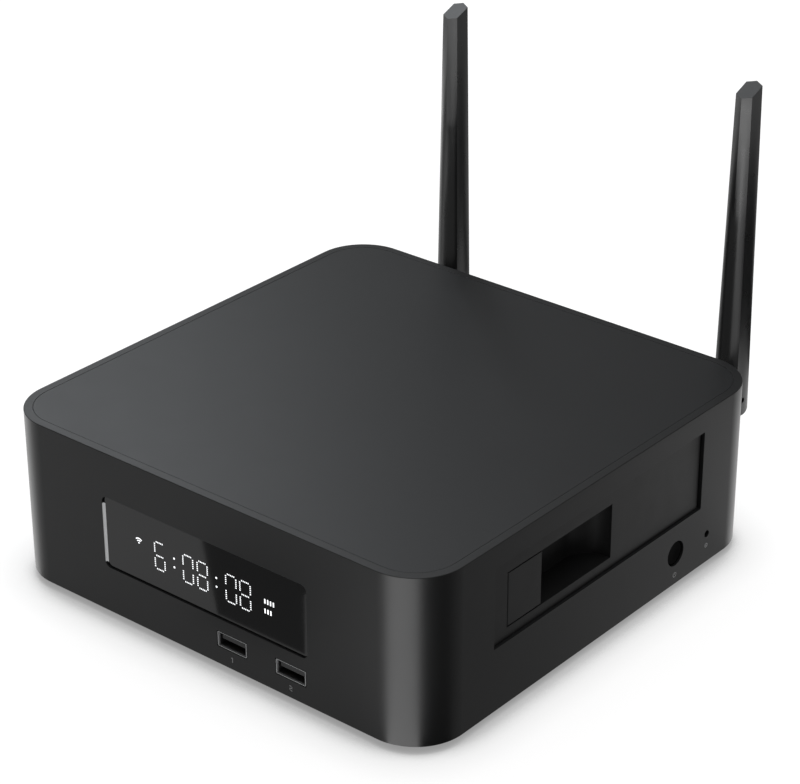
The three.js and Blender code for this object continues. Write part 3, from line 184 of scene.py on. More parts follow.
def arc_bars(middle, radius, width, start=45, end=135, steps=6):
    """Outlines of short bars side by side that make a round stroke."""
    inner = arc(radius, start, end, middle, steps)
    outer = arc(radius + width, start, end, middle, steps)
    return [[inner[i], inner[i + 1], outer[i + 1], outer[i]] for i in range(steps)]


def settle(obj):
    """Makes the modifiers of a new piece its real mesh."""
    depsgraph = bpy.context.evaluated_depsgraph_get()
    mesh = bpy.data.meshes.new_from_object(obj.evaluated_get(depsgraph))
    obj.modifiers.clear()
    obj.data = mesh
    return obj


def combine(body, tools, operation="DIFFERENCE"):
    """Cuts the tools from a new piece, or joins or keeps what they hold, in its real mesh."""
    for tool in tools:
        modifier = body.modifiers.new("combine", "BOOLEAN")
        modifier.operation = operation
        modifier.solver = "EXACT"
        modifier.object = tool
    settle(body)
    for tool in tools:
        bpy.data.objects.remove(tool)


def soften(obj, width, segments=2, angle=30):
    """Rounds the sharp edges and keeps flat faces flat in the light."""
    obj.data.shade_smooth()
    if width:
        bevel = obj.modifiers.new("edges", "BEVEL")
        bevel.width = width * MM
        bevel.segments = segments
        bevel.limit_method = "ANGLE"
        bevel.angle_limit = math.radians(angle)
        bevel.miter_outer = "MITER_ARC"
    weighted = obj.modifiers.new("normals", "WEIGHTED_NORMAL")
    weighted.keep_sharp = True
    return obj


def joined(name, objects):
    """One piece out of several."""
    bm = bmesh.new()
    for obj in objects:
        bm.from_mesh(obj.data)
        bpy.data.objects.remove(obj)
    mesh = bpy.data.meshes.new(name)
    bm.to_mesh(mesh)
    bm.free()
    return linked(name, mesh)


# ---- materials ----------------------------------------------------------------------------------


class Look:
    """A node material about one Principled shader, in the row frame's metres."""

    def __init__(self, name, **sockets):
        self.material = bpy.data.materials.new(name)
        self.material.use_nodes = True
        self.tree = self.material.node_tree
        self.shader = self.tree.nodes["Principled BSDF"]
        for key, value in sockets.items():
            self.shader.inputs[key.replace("_", " ")].default_value = value
        self.where = self.node("ShaderNodeTexCoord").outputs["Object"]
        self.material.diffuse_color = self.shader.inputs["Base Color"].default_value

    def node(self, kind, inputs=None, **settings):
        made = self.tree.nodes.new(kind)
        for key, value in settings.items():
            setattr(made, key, value)
        for key, value in (inputs or {}).items():
            if isinstance(value, bpy.types.NodeSocket):
                self.tree.links.new(value, made.inputs[key])
            else:
                made.inputs[key].default_value = value
        return made

    def stretched(self, scale):
        return self.node("ShaderNodeMapping", {"Vector": self.where, "Scale": scale}).outputs[0]

    def noise(self, scale, detail=2.0, where=None):
        inputs = {"Vector": where or self.where, "Scale": scale, "Detail": detail}
        return self.node("ShaderNodeTexNoise", inputs).outputs["Fac"]

    def span(self, value, low, high, start=0.25, end=0.75):
        """Spreads what lies between start and end over low to high, and holds what lies beyond."""
        inputs = {"Value": value, "From Min": start, "From Max": end, "To Min": low, "To Max": high}
        return self.node("ShaderNodeMapRange", inputs).outputs[0]

    def mix(self, factor, first, second):
        inputs = {0: factor, 6: first, 7: second}
        return self.node("ShaderNodeMix", inputs, data_type="RGBA").outputs[2]

    def calculate(self, operation, *values, clamp=False):
        inputs = dict(enumerate(values))
        made = self.node("ShaderNodeMath", inputs, operation=operation, use_clamp=clamp)
        return made.outputs[0]

    def bump(self, height, strength, distance):
        inputs = {"Height": height, "Strength": strength, "Distance": distance}
        return self.node("ShaderNodeBump", inputs).outputs[0]

    def feed(self, socket, value):
        self.tree.links.new(value, self.shader.inputs[socket])


def shade(colour, factor):
    return tuple(c * factor for c in colour) + (1.0,)


GLOSS_PATCHES = 4.3  # patches of gloss to each patch of colour
ROLLED, BRUSHED = (1, 0.08, 1), (1, 0.04, 1)  # stretches of a grain along y
# Colour, roughness, metallic, how far gloss and colour vary, scales of the patches and the grain,
# and for most the grain's depth in metres, its strength and its stretch
FINISHES = {
    "housing_metal": ((0.0108, 0.011, 0.0113), 0.38, 0, 0.012, 0.04, 18, 2600, 0.00001, 0.1),
    # lid_metal is housing_metal made a little lighter and bluer: painted light on the top, which
    # faces the bluish softbox
    "lid_metal": ((0.0112, 0.0116, 0.0122), 0.38, 0, 0.012, 0.04, 18, 2600, 0.00001, 0.1),
    "black_steel": ((0.014, 0.014, 0.0145), 0.55, 0, 0.06, 0.1, 40, 1500, 0.00004, 0.35),
    "plated_steel": ((0.46, 0.47, 0.48), 0.36, 1, 0.08, 0.1, 60, 900, 0.00002, 0.15, ROLLED),
    "bright_steel": ((0.62, 0.625, 0.63), 0.24, 1, 0.06, 0.05, 90, 1800, 0.00001, 0.1),
    "bare_aluminium": ((0.6, 0.61, 0.62), 0.38, 1, 0.08, 0.06, 40, 1500, 0.00002, 0.2, BRUSHED),
    "gold_brass": ((0.62, 0.42, 0.15), 0.3, 1, 0.06, 0.08, 90, 1800, 0.00001, 0.12),
    "foot_rubber": ((0.01, 0.01, 0.01), 0.85, 0, 0.06, 0.12, 60, 1300, 0.00005, 0.5),
    "moulded_black": ((0.0095, 0.0096, 0.0098), 0.4, 0, 0.03, 0.06, 30, 1900, 0.00003, 0.3),
    "antenna_black": ((0.0075, 0.0077, 0.008), 0.29, 0, 0.03, 0.06, 30, 1900, 0.00003, 0.2),
    "gloss_black": ((0.0008, 0.0008, 0.0009), 0.16, 0, 0.02, 0.05, 60, 900, 0.00001, 0.03),
    "tinted_window": ((0.0045, 0.0046, 0.005), 0.07, 0, 0.015, 0.05, 12, 500, 0.00001, 0.02),
    "black_insulator": ((0.01, 0.01, 0.0105), 0.48, 0, 0.06, 0.08, 80, 1900, 0.00003, 0.25),
    "grey_insulator": ((0.14, 0.145, 0.15), 0.45, 0, 0.05, 0.06, 80, 1900, 0.00002, 0.2),
    "rail_plastic": ((0.6, 0.58, 0.53), 0.5, 0, 0.06, 0.04, 60, 1600, 0.00003, 0.2),
    # Painted highlight: a pale strip that glows a little, for the bright left side of the window's
    # recess
    "painted_highlight_strip": ((0.5, 0.51, 0.52), 0.4, 0, 0.05, 0.04, 60, 900),
    # Plated steel made darker: painted shade for the inside of the ports
    "port_steel_painted_shade": ((0.16, 0.16, 0.163), 0.42, 1, 0.06, 0.1, 120, 1500),
    "port_tongue": ((0.036, 0.036, 0.037), 0.5, 0, 0.05, 0.06, 80, 1900),
    "lip_steel": ((0.55, 0.555, 0.56), 0.28, 1, 0.06, 0.05, 90, 1800),
    "light_pipe": ((0.55, 0.5, 0.3), 0.3, 0, 0.05, 0.06, 200, 1500),
    "mark": ((0.4, 0.405, 0.41), 0.55, 0, 0.05, 0.06, 200, 2500),
}
# What a few of them set on the shader besides
MORE_SOCKETS = {
    "housing_metal": {"Specular_IOR_Level": 0.3},
    "lid_metal": {"Specular_IOR_Level": 0.3},
    "moulded_black": {"Specular_IOR_Level": 0.3},
    "antenna_black": {"Specular_IOR_Level": 0.35},
    "gloss_black": {"Specular_IOR_Level": 0.008},
    "rail_plastic": {"Subsurface_Weight": 0.1},
    # This glow paints the highlight on the window recess's strip
    "painted_highlight_strip": {"Emission_Color": (1, 1, 1, 1), "Emission_Strength": 0.16},
}


def finish(name, colour, roughness, metallic, gloss_spread, colour_spread, patch, grain,
           grain_depth=0.00002, grain_strength=0.25, stretch=None):
    """Painted, moulded or plated surface: patches of colour, uneven gloss and a fine grain."""
    look = Look(name, Base_Color=colour + (1.0,), Metallic=metallic, Roughness=roughness,
                **MORE_SOCKETS.get(name, {}))
    tone = look.span(look.noise(patch, 3.0), 0.0, 1.0)
    darker, lighter = (shade(colour, 1 + s * colour_spread) for s in (-1, 1))
    look.feed("Base Color", look.mix(tone, darker, lighter))
    gloss = look.noise(patch * GLOSS_PATCHES, 4.0, look.stretched(stretch) if stretch else None)
    look.feed("Roughness", look.span(gloss, roughness - gloss_spread, roughness + gloss_spread))
    fine = look.noise(grain, 2.0, look.stretched(stretch) if stretch else None)
    look.feed("Normal", look.bump(fine, grain_strength, grain_depth))
    return look.material


def board_look(name):
    """Solder mask over copper tracks."""
    look = Look(name, Base_Color=(0.01, 0.06, 0.03, 1), Roughness=0.35)
    cells = look.node("ShaderNodeTexVoronoi", {"Vector": look.where, "Scale": 240.0},
                      distance="MANHATTAN", feature="F1")
    waves = {"Vector": look.where, "Scale": 160.0, "Distortion": 3.0, "Detail": 1.0}
    tracks = look.node("ShaderNodeTexWave", waves, wave_type="BANDS", bands_direction="X")
    pattern = look.span(tracks.outputs["Fac"], 0.0, 1.0, 0.45, 0.55)
    base = look.mix(pattern, (0.008, 0.05, 0.024, 1), (0.016, 0.085, 0.042, 1))
    patch = look.span(cells.outputs["Distance"], 0.0, 1.0, 0.05, 0.3)
    look.feed("Base Color", look.mix(patch, (0.02, 0.1, 0.05, 1), base))
    look.feed("Roughness", look.span(look.noise(140, 3.0), 0.28, 0.45))
    look.feed("Normal", look.bump(pattern, 0.3, 0.00004))
    return look.material


def ribbon_look(name):
    """Flat cable: its conductors show as fine lines."""
    look = Look(name, Base_Color=(0.5, 0.51, 0.5, 1), Roughness=0.4)
    lines = look.node("ShaderNodeTexWave", {"Vector": look.where, "Scale": 320.0},
                      wave_type="BANDS", bands_direction="DIAGONAL").outputs["Fac"]
    look.feed("Base Color", look.mix(lines, (0.32, 0.33, 0.33, 1), (0.62, 0.62, 0.6, 1)))
    look.feed("Roughness", look.span(look.noise(90), 0.32, 0.5))
    look.feed("Normal", look.bump(lines, 0.4, 0.00005))
    return look.material


def tube_look(name):
    """Display tube: dark grid behind clear glass."""
    look = Look(name, Base_Color=(0.03, 0.035, 0.036, 1), Roughness=0.08, Coat_Weight=0.5)
    bricks = {"Vector": look.where, "Scale": 260.0, "Mortar Size": 0.03}
    grid = look.node("ShaderNodeTexBrick", bricks).outputs["Fac"]
    look.feed("Base Color", look.mix(grid, (0.018, 0.02, 0.021, 1), (0.05, 0.056, 0.058, 1)))
    look.feed("Roughness", look.span(look.noise(40), 0.05, 0.14))
    return look.material


def glow_look(name):
    """Lit strokes of the display, a little uneven as phosphor is."""
    look = Look(name, Base_Color=(0.8, 0.82, 0.85, 1), Roughness=0.5, Emission_Strength=1.5)
    glow = look.span(look.noise(1400), 0.0, 1.0)
    look.feed("Emission Color", look.mix(glow, (0.8, 0.82, 0.84, 1), (0.98, 0.99, 1.0, 1)))
    return look.material


looks = {name: finish(name, *values) for name, values in FINISHES.items()}
for name, make in (("circuit_board", board_look), ("ribbon_plastic", ribbon_look),
                   ("display_glass", tube_look), ("glow", glow_look)):
    looks[name] = make(name)


def piece(obj, slot, body="player", stands_for=(), look=None):
    """Gives a new piece its material, by its look or else by its slot, and the body that it rides
    on.
    """
    obj.data.materials.clear()
    obj.data.materials.append(looks[look or slot])
    if stands_for:
        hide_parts(*stands_for)
    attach(obj, body)


SHARP_ANGLE = math.radians(30)
LEVEL_ANGLE = math.radians(0.5)


def dress(name, slot, width):
    """A node that stays: its material, and its edges rounded a little, or sharp at no width."""
    obj = nodes[name]
    obj.data.materials.clear()
    obj.data.materials.append(looks[slot])
    weld = obj.modifiers.new("weld", "WELD")
    weld.merge_threshold = NODE_WELD
    if not width:
        obj.data.shade_smooth()
        obj.modifiers.new("corners", "EDGE_SPLIT").split_angle = SHARP_ANGLE
        return
    flat = obj.modifiers.new("flat", "DECIMATE")
    flat.decimate_type = "DISSOLVE"
    flat.angle_limit = LEVEL_ANGLE
    soften(obj, width)


# ---- housing ------------------------------------------------------------------------------------

HOUSING = (205.0, 205.0)
HEIGHT = 68.0
CORNER = 21.0
CORNER_FACETS = 24
ROUNDING = 0.3
WALL = 3.5
LEDGE = 6.0  # how far in the two ledges inside reach, measured from the outside
LEDGE_DEPTH = 2.0
LID_SEAT = 65.55
PLATE_SEAT = 2.3
INNER_EDGE = 0.04
FRONT, SIDE, BACK = -102.5, 102.5, 102.5
# Middles of the openings, across and up, and their width, height and corner radius
WINDOW, WINDOW_HOLE = (0, 34.4), (100, 30, 2.5)
DOOR, DOOR_HOLE = (-0.5, 42.59), (127.3, 33.02, 0.3)
REAR, REAR_HOLE = (0, 33), (156, 52, 3)
USB_LEFT, USB_RIGHT, USB_REAR, USB_Z = 13.5, 41.75, 24, 10.8
USB_HOLE = (14.6, 6.7, 0.3)
POWER_KEY, POWER_RADIUS = (47.4, 13.6), 5.2
RESET_HOLE, RESET_RADIUS = (68.4, 12.8), 1.5


def housing():
    """Shell with round corners, rounded edges, two ledges inside and all its openings."""
    lower = arc(ROUNDING, -90, -180, (ROUNDING, ROUNDING))
    upper = arc(ROUNDING, 180, 90, (ROUNDING, HEIGHT - ROUNDING))
    inner = [(WALL - INNER_EDGE, HEIGHT), (WALL, HEIGHT - INNER_EDGE)]
    for high, low in ((LID_SEAT, LID_SEAT - LEDGE_DEPTH), (PLATE_SEAT + LEDGE_DEPTH, PLATE_SEAT)):
        inner += [(WALL, high), (LEDGE, high), (LEDGE, low), (WALL, low)]
    inner.append((WALL, 0.0))
    profile = [(i, i, z) for i, z in lower + upper + inner]
    shell = swept("housing", HOUSING, CORNER, (0, 0), profile, "z", CORNER_FACETS)
    front = ("y", FRONT - 1, FRONT + WALL + 1)
    side = ("x", SIDE - WALL - 1, SIDE + 1)
    back = ("y", BACK - WALL - 1, BACK + 1)
    combine(shell, [prism("opening", outline, *through) for outline, through in (
        (rounded(*WINDOW_HOLE, WINDOW), front),
        (rounded(*USB_HOLE, (USB_LEFT, USB_Z)), front),
        (rounded(*USB_HOLE, (USB_RIGHT, USB_Z)), front),
        (rounded(*DOOR_HOLE, DOOR, 2), side),
        (circle(POWER_RADIUS, POWER_KEY, 48), side),
        (circle(RESET_RADIUS, RESET_HOLE, 24), side),
        (rounded(*REAR_HOLE, REAR), back),
    )])
    soften(shell, 0.1, angle=35)
    piece(shell, "housing_metal", stands_for=["housing_shell"])


LID_INSET = 3.62
LID_ROUNDING = 0.06
LID_UNDER, LID_TOP = 65.65, 67.97
LIP_OUTER, LIP_INNER, LIP_END = 6.3, 7.5, 64.05


def lid():
    """Flat lid with a lip under it that fits inside the ledge."""
    top = arc(LID_ROUNDING, 180, 90, (LID_INSET + LID_ROUNDING, LID_TOP - LID_ROUNDING))
    edge = [(i, i, z) for i, z in [(LID_INSET, LID_UNDER)] + top]
    plate = swept("lid_plate", HOUSING, CORNER, (0, 0), edge, "z", CORNER_FACETS, closed=False)
    edge = [(i, i, z) for i, z in oblong(LIP_OUTER, LIP_INNER, LID_UNDER, LIP_END)]
    lip = swept("lid_lip", HOUSING, CORNER, (0, 0), edge, "z", CORNER_FACETS)
    panel = joined("lid", [plate, lip])
    soften(panel, 0)
    piece(panel, "lid_metal", stands_for=["top_panel"])


# ---- display ------------------------------------------------------------------------------------

LENS, LENS_CORNER, LENS_EDGE = (99.7, 29.7), 2.35, 0.15
FLANGE = (105, 35, 2.5)
LENS_FACE, LENS_BACK, FLANGE_BACK = -101.75, -98.9, -97.7
GLOW_FACE = LENS_FACE - 0.02
LIT_X, LIT_Z = 0.8, 0.62  # moves all that is lit
STROKE_WIDTH = 0.56
STROKE_DOTS = 5
DOT_SHARE = 0.5
DIGIT_LOW, DIGIT_HIGH = 27.4, 38.7
DIGIT_MIDDLE = (DIGIT_LOW + DIGIT_HIGH) / 2
SEGMENTS = {"0": "abcdef", "6": "acdefg", "8": "abcdefg"}
DIGITS = (("6", -25.1, -20.2), ("0", -10.9, -6.0), ("8", -3.8, 1.1), ("0", 10.15, 15.1),
          ("8", 17.0, 22.0))
COLONS, COLON_DOTS = (-15.4, 5.5), (35.0, 31.35)
SIGN_X, SIGN_Z = -33.15, 34.8
TILES_X, TILE_PITCH, TILE_ROWS = 28.9, 1.35, ((34.6, 4), (30.6, 3))


def window():
    """Tinted lens with a small chamfer, and the flange that holds it behind the wall."""
    profile = [(LENS_EDGE, LENS_EDGE, LENS_FACE), (0, 0, LENS_FACE + LENS_EDGE), (0, 0, LENS_BACK)]
    lens = swept("window_lens", LENS, LENS_CORNER, WINDOW, profile, "y", closed=False)
    flange = prism("window_flange", rounded(*FLANGE, WINDOW), "y", LENS_BACK, FLANGE_BACK)
    pane = joined("window", [lens, flange])
    soften(pane, 0)
    piece(pane, "tinted_window", stands_for=["display_window"])


def window_edge():
    """Painted highlight: a strip that glows a little along the left side of the window's recess, as
    an angle of thin sheet.
    """
    left, mouth, corner = -50, -102.4, LENS_FACE - 0.05
    angle = [(left, mouth), (left + 0.12, mouth), (left + 0.12, corner), (left + 1.05, corner),
             (left + 1.05, LENS_FACE), (left, LENS_FACE)]
    piece(prism("window_edge", angle, "z", 21.2, 46.1), None, look="painted_highlight_strip")


def stroke(start, end):
    """A lit stroke made of short bars in a row."""
    a, b = Vector(start), Vector(end)
    step = (b - a) / STROKE_DOTS
    across = Vector((-step.y, step.x)).normalized() * STROKE_WIDTH / 2
    half = step * DOT_SHARE / 2
    bars = []
    for i in range(STROKE_DOTS):
        middle = a + step * (i + 0.5)
        bars.append([middle - half - across, middle + half - across,
                     middle + half + across, middle - half + across])
    return bars


def digit(character, x0, x1):
    """The strokes of a seven-segment digit between two places across."""
    flat = {"a": DIGIT_HIGH, "g": DIGIT_MIDDLE, "d": DIGIT_LOW}
    upright = {"f": (x0, DIGIT_HIGH), "b": (x1, DIGIT_HIGH),
               "e": (x0, DIGIT_LOW), "c": (x1, DIGIT_LOW)}
    gap, outer_gap, inner_gap = 0.55, 0.5, 1.05
    bars = []
    for name in SEGMENTS[character]:
        if name in flat:
            bars += stroke((x0 + gap, flat[name]), (x1 - gap, flat[name]))
        else:
            x, outer = upright[name]
            way = 1 if outer < DIGIT_MIDDLE else -1
            bars += stroke((x, outer + way * outer_gap), (x, DIGIT_MIDDLE - way * inner_gap))
    return bars


def square(x, z, size):
    half = size / 2
    return oblong(x - half, x + half, z - half, z + half)


def display_marks():
    """A clock's digits and dots, a sign of waves and two rows of tiles."""
    bars = [bar for values in DIGITS for bar in digit(*values)]
    bars += [square(x, z, 0.72) for x in COLONS for z in COLON_DOTS]
    bars += [square(SIGN_X, SIGN_Z + 0.15, 0.55)]
    for radius in (0.95, 1.85):
        bars += arc_bars((SIGN_X, SIGN_Z), radius, 0.4)
    for z, count in TILE_ROWS:
        places = [TILES_X + TILE_PITCH * i for i in range(count)]
        bars += [oblong(x - 0.3, x + 0.3, z - 1, z + 0.9) for x in places]
    bars = [[(x + LIT_X, z + LIT_Z) for x, z in bar] for bar in bars]
    piece(tiles("display_marks", bars, "y", GLOW_FACE, 0.04), None, look="glow")


# ---- USB ports ----------------------------------------------------------------------------------

PORT_FACE = 99.3
USB_MOUTH = FRONT + 0.1
USB_SHELL = (14.0, 6.1)
TONGUE_TOP = 12.65
TONGUE_DEPTH = 1.8
CONTACT_PITCH = 2.3


def usb_port(name, x, mouth, way):
    """Plated shell with a flared mouth and its tongue with four contacts."""

    def y(depth):
        return mouth + way * depth

    def sleeve(kind, profile):
        profile = [(ia, ib, y(depth)) for ia, ib, depth in profile]
        made = swept(f"usb_{kind}_{name}", USB_SHELL, 0.5, (x, USB_Z), profile, "y", 4)
        return soften(made, 0)

    def block(kind, outline, start, end):
        return prism(f"usb_{kind}_{name}", outline, "y", *sorted((y(start), y(end))))

    lip = sleeve("lip", [(0.2, 0.16, 0.5), (0, 0, 0.4), (0, 0, 0.04), (0.04, 0.04, 0),
                         (0.2, 0.2, 0), (0.24, 0.24, 0.05), (0.3, 0.28, 0.5)])
    piece(lip, "bright_steel", stands_for=["usb_shell_" + name], look="lip_steel")
    # The shell's inside takes a darker copy of the plated steel: painted shade for the dark inside
    # of the port
    case = sleeve("case", [(0.28, 0.25, 0.12), (0.6, 0.45, 0.3), (0.75, 0.6, 1), (0.75, 0.6, 14),
                           (0.4, 0.25, 14), (0.4, 0.25, 0.45)])
    piece(case, "plated_steel", look="port_steel_painted_shade")
    middle = (x, TONGUE_TOP - TONGUE_DEPTH / 2)
    tongue = block("bar", rounded(11.1, TONGUE_DEPTH, 0.25, middle, 3), 1, 12)
    heel = block("heel", rounded(12.3, 4.7, 0.2, (x, USB_Z), 2), 10, 14)
    both = joined("usb_block_" + name, [tongue, heel])
    soften(both, 0.12)
    piece(both, "grey_insulator", stands_for=["usb_tongue_" + name], look="port_tongue")
    strips = []
    for i, reach in enumerate((1.5, 2.3, 2.3, 1.5)):
        xs = x + (i - 1.5) * CONTACT_PITCH
        strips.append(oblong(xs - 0.5, xs + 0.5, y(reach), y(9)))
    under = TONGUE_TOP - TONGUE_DEPTH - 0.06
    piece(tiles("usb_contacts_" + name, strips, "z", under, 0.1), "gold_brass")


# ---- antennas -----------------------------------------------------------------------------------

ANTENNA_X = 71.3
HINGE_Y, HINGE_Z = HINGE = (129.5, 37.5)
HINGE_BORE = 1.18
BLADE_HALF = 6.655
BLADE_FOOT, BLADE_TIP = HINGE_Z - BLADE_HALF - 1, HINGE_Z + 130.7
BLADE_WIDTH, BLADE_FLAT, BLADE_DEPTH = (11.3, 7.3), (8.7, 6.9), (13.31, 10.34)  # foot and tip
BLADE_RISES = (0, 0.2, 0.4, 0.5, 0.58, 0.66, 0.74, 0.82, 0.9, 1)
TIP_SLANT = 0.403
FACET_SWELL, SIDE_SWELL = 2.48, 2.7
KNUCKLE = 4.6
NUT_RADIUS = 4.7
NUT_RIBS = 30


def blade_ring(rise):
    """Six sides, flat at the tip and rounder lower down; rise is 0 at the foot and 1 at the tip."""
    width, flat, depth = (a + (b - a) * rise for a, b in (BLADE_WIDTH, BLADE_FLAT, BLADE_DEPTH))
    fade = min(2 * (1 - rise), 1)
    curve = fade * fade * (3 - 2 * fade)
    corners = [Vector(c) for c in (
        (-width / 2, -flat / 2), (0, -depth / 2), (width / 2, -flat / 2),
        (width / 2, flat / 2), (0, depth / 2), (-width / 2, flat / 2))]
    outline = []
    for i, start in enumerate(corners):
        along = corners[(i + 1) % 6] - start
        out = Vector((along.y, -along.x)).normalized() * curve
        for t in (k / 8 for k in range(8)):
            swell = FACET_SWELL * t * (1 - t)
            if i in (2, 5):  # the right and the left side, which swell most towards their back
                back = t if i == 2 else 1 - t
                swell = SIDE_SWELL * back * back * (1 - back)
            outline.append(start + along * t + out * swell)
    return outline


def blade(side, x):
    """Blade with its foot rounded about the hinge, a slot for the base's knuckle and a bore."""
    points = []
    for rise in BLADE_RISES:
        z = BLADE_FOOT + (BLADE_TIP - BLADE_FOOT) * rise
        slant = TIP_SLANT if rise == 1 else 0
        points += [(x + a, HINGE_Y + b, z + slant * b) for a, b in blade_ring(rise)]
    rings = len(BLADE_RISES)
    made = mesh_object("blade_" + side, points, skin(rings, len(points) // rings))
    beyond, above = BLADE_HALF + 1, BLADE_TIP + 9
    keep = [(HINGE_Y - beyond, above), (HINGE_Y - beyond, HINGE_Z)]
    keep += arc(BLADE_HALF, 180, 360, HINGE, 30)
    keep += [(HINGE_Y + beyond, HINGE_Z), (HINGE_Y + beyond, above)]
    combine(made, [prism("keep", keep, "x", x - 8, x + 8)], "INTERSECT")
    clear, low = KNUCKLE + 0.3, BLADE_HALF + 2
    slot = [(HINGE_Y - low, HINGE_Z + clear), (HINGE_Y - low, HINGE_Z - low),
            (HINGE_Y + clear, HINGE_Z - low)]
    slot += arc(clear, 0, 90, HINGE, 10)
    combine(made, [
        prism("slot", slot, "x", x - 2.3, x + 2.3),
        prism("bore", circle(HINGE_BORE, HINGE, 24), "x", x - 8, x + 8),
    ])
    soften(made, 0.25, 3, 10)
    piece(made, "antenna_black", side + "_antenna", ["antenna_blade_" + side])


def hinge_pin(side, x):
    """Chamfered pin through the blade's foot and the knuckle."""
    name = "antenna_pin_" + side
    profile = [(0, -5.15), (0.9, -5.15), (1.1, -4.95), (1.1, 4.95), (0.9, 5.15), (0, 5.15)]
    made = turned("pin_" + side, [(r, x + t) for r, t in profile], "x", HINGE, 24)
    soften(made, 0)
    piece(made, "bright_steel", body_of[name], [name], "black_steel")


def knurl(x, depth):
    """Outline of the nut's ribs, some way down from their tops."""
    count = NUT_RIBS * 4
    outline = []
    for i in range(count):
        turn = 2 * math.pi * i / count
        radius = NUT_RADIUS - depth - (0.22 if i % 4 in (2, 3) else 0.0)
        outline.append((x + radius * math.cos(turn), HINGE_Z + radius * math.sin(turn)))
    return outline


def nut(side, x):
    """Knurled sleeve nut, hollow for the jack and the base."""
    rings = [knurl(x, depth) for depth in (0.45, 0, 0, 0.45)]
    made = loft("nut_" + side, rings, "y", [101.1, 101.6, 111.1, 111.6])
    profile = [(3.4, 100.0), (3.4, 110.4), (2.8, 110.4), (2.8, 113)]
    combine(made, [turned("hollow", profile, "y", (x, HINGE_Z), 32)])
    soften(made, 0)
    piece(made, "gold_brass", stands_for=["antenna_nut_" + side])


def base(side, x):
    """Swivelling barrel with a groove, and the knuckle that the blade hinges on."""
    profile = [(2.5, 110.3), (2.5, 111.9), (4.1, 111.9), (4.8, 112.6), (4.8, 113.4), (4.55, 113.6),
               (4.55, 114.0), (4.8, 114.2), (4.8, 121.845), (4.1, 122.545)]
    made = turned("barrel_" + side, profile, "y", (x, HINGE_Z), 40)
    root = 121.8
    knuckle = [(root, HINGE_Z - KNUCKLE)] + arc(KNUCKLE, -90, 90, HINGE, 20)
    knuckle += [(root, HINGE_Z + KNUCKLE)]
    combine(made, [prism("knuckle", knuckle, "x", x - 2, x + 2)], "UNION")
    combine(made, [prism("bore", circle(HINGE_BORE, HINGE, 24), "x", x - 3, x + 3)])
    soften(made, 0.12, angle=40)
    piece(made, "moulded_black", side + "_antenna_foot", ["antenna_base_" + side])


# ---- buttons and marks --------------------------------------------------------------------------

MARK_HEIGHT = 0.015
MARK_DEPTH = 0.03


def power_key():
    """Button with a slightly hollow face, a flange behind the wall and a stem."""
    radius = 4.9
    profile = [(0, 97.3), (1.5, 97.3), (1.5, 97.9), (6.2, 97.9), (6.2, 98.9), (radius, 98.9),
               (radius, 101.6), (radius - 0.06, 101.8), (radius - 0.2, 101.88),
               (radius - 0.6, 101.9), (radius - 1.6, 101.87), (1.4, 101.8), (0, 101.79)]
    key = turned("power_cap", profile, "x", POWER_KEY, 56)
    soften(key, 0)
    piece(key, "gloss_black", "power_key", ["power_button"])


def side_marks():
    """Generic signs: a ring with a bar under the button, a dot in a ring under the small hole."""
    power, power_z = POWER_KEY[0], 4.3
    reset, reset_z = RESET_HOLE[0], 7.7
    bars = arc_bars((power, power_z), 0.85, 0.28, 125, 415, 22)
    bars += [oblong(power - 0.14, power + 0.14, power_z, power_z + 1.2)]
    bars += arc_bars((reset, reset_z), 0.7, 0.24, 0, 360, 20)
    bars += [square(reset, reset_z, 0.5)]
    marks = tiles("side_marks", bars, "x", SIDE + MARK_HEIGHT, -MARK_DEPTH)
    piece(marks, None, look="mark")


def front_marks():
    """Plain numbers under the two ports."""
    low, middle, high = 3.1, 4.15, 5.2
    width = 0.32
    stem, left, right = 13.4, 41.1, 42.4
    bars = [
        oblong(stem, stem + width, low, high),
        [(stem - 0.5, high - 0.55), (stem, high - 0.32), (stem, high), (stem - 0.5, high - 0.24)],
        oblong(left, right, high - width, high),
        oblong(right - width, right, middle, high),
        oblong(left, right, middle - width / 2, middle + width / 2),
        oblong(left, left + width, low, middle),
        oblong(left, right, low, low + width),
    ]
    marks = tiles("front_marks", bars, "y", FRONT - MARK_HEIGHT, MARK_DEPTH)
    piece(marks, None, look="mark")


# ---- back ---------------------------------------------------------------------------------------

PANEL_FACE = 98.9
BOARD_TOP = 8.0


def screw(name, x, z, radius):
    """Pan head with a cross slot."""
    profile = [(0, -0.05), (radius, -0.05), (radius, 0.35), (radius - 0.2, 0.7),
               (radius - 0.9, 0.98), (0, 1.05)]
    head = turned(name, [(r, PANEL_FACE + t) for r, t in profile], "y", (x, z), 28)
    length, width = radius * 1.1, 0.56
    combine(head, [
        prism("cross", rounded(a, b, 0.1, (x, z), 2), "y", PANEL_FACE + 0.45, PANEL_FACE + 1.5)
        for a, b in ((length, width), (width, length))
    ])
    return settle(soften(head, 0.05, 1))


def back_screws():
    """Four screws of the rear panel and four of the fan."""
    heads = [screw("back_screw", x, z, 2.4) for x in (-76, 76) for z in (10.5, 55.5)]
    heads += [screw("fan_screw", x, z, 2.6) for x in (-16, 16) for z in (25.6, 57.6)]
    piece(joined("back_screws", heads), "black_steel")


def bars_of(name, slot, boxes, width=0, look=None):
    """One piece out of blocks, each given by its limits along x, y and z."""
    block = joined(name, [prism("bar", oblong(*box[:4]), "z", *box[4:]) for box in boxes])
    if width:
        soften(block, width)
    piece(block, slot, look=look)


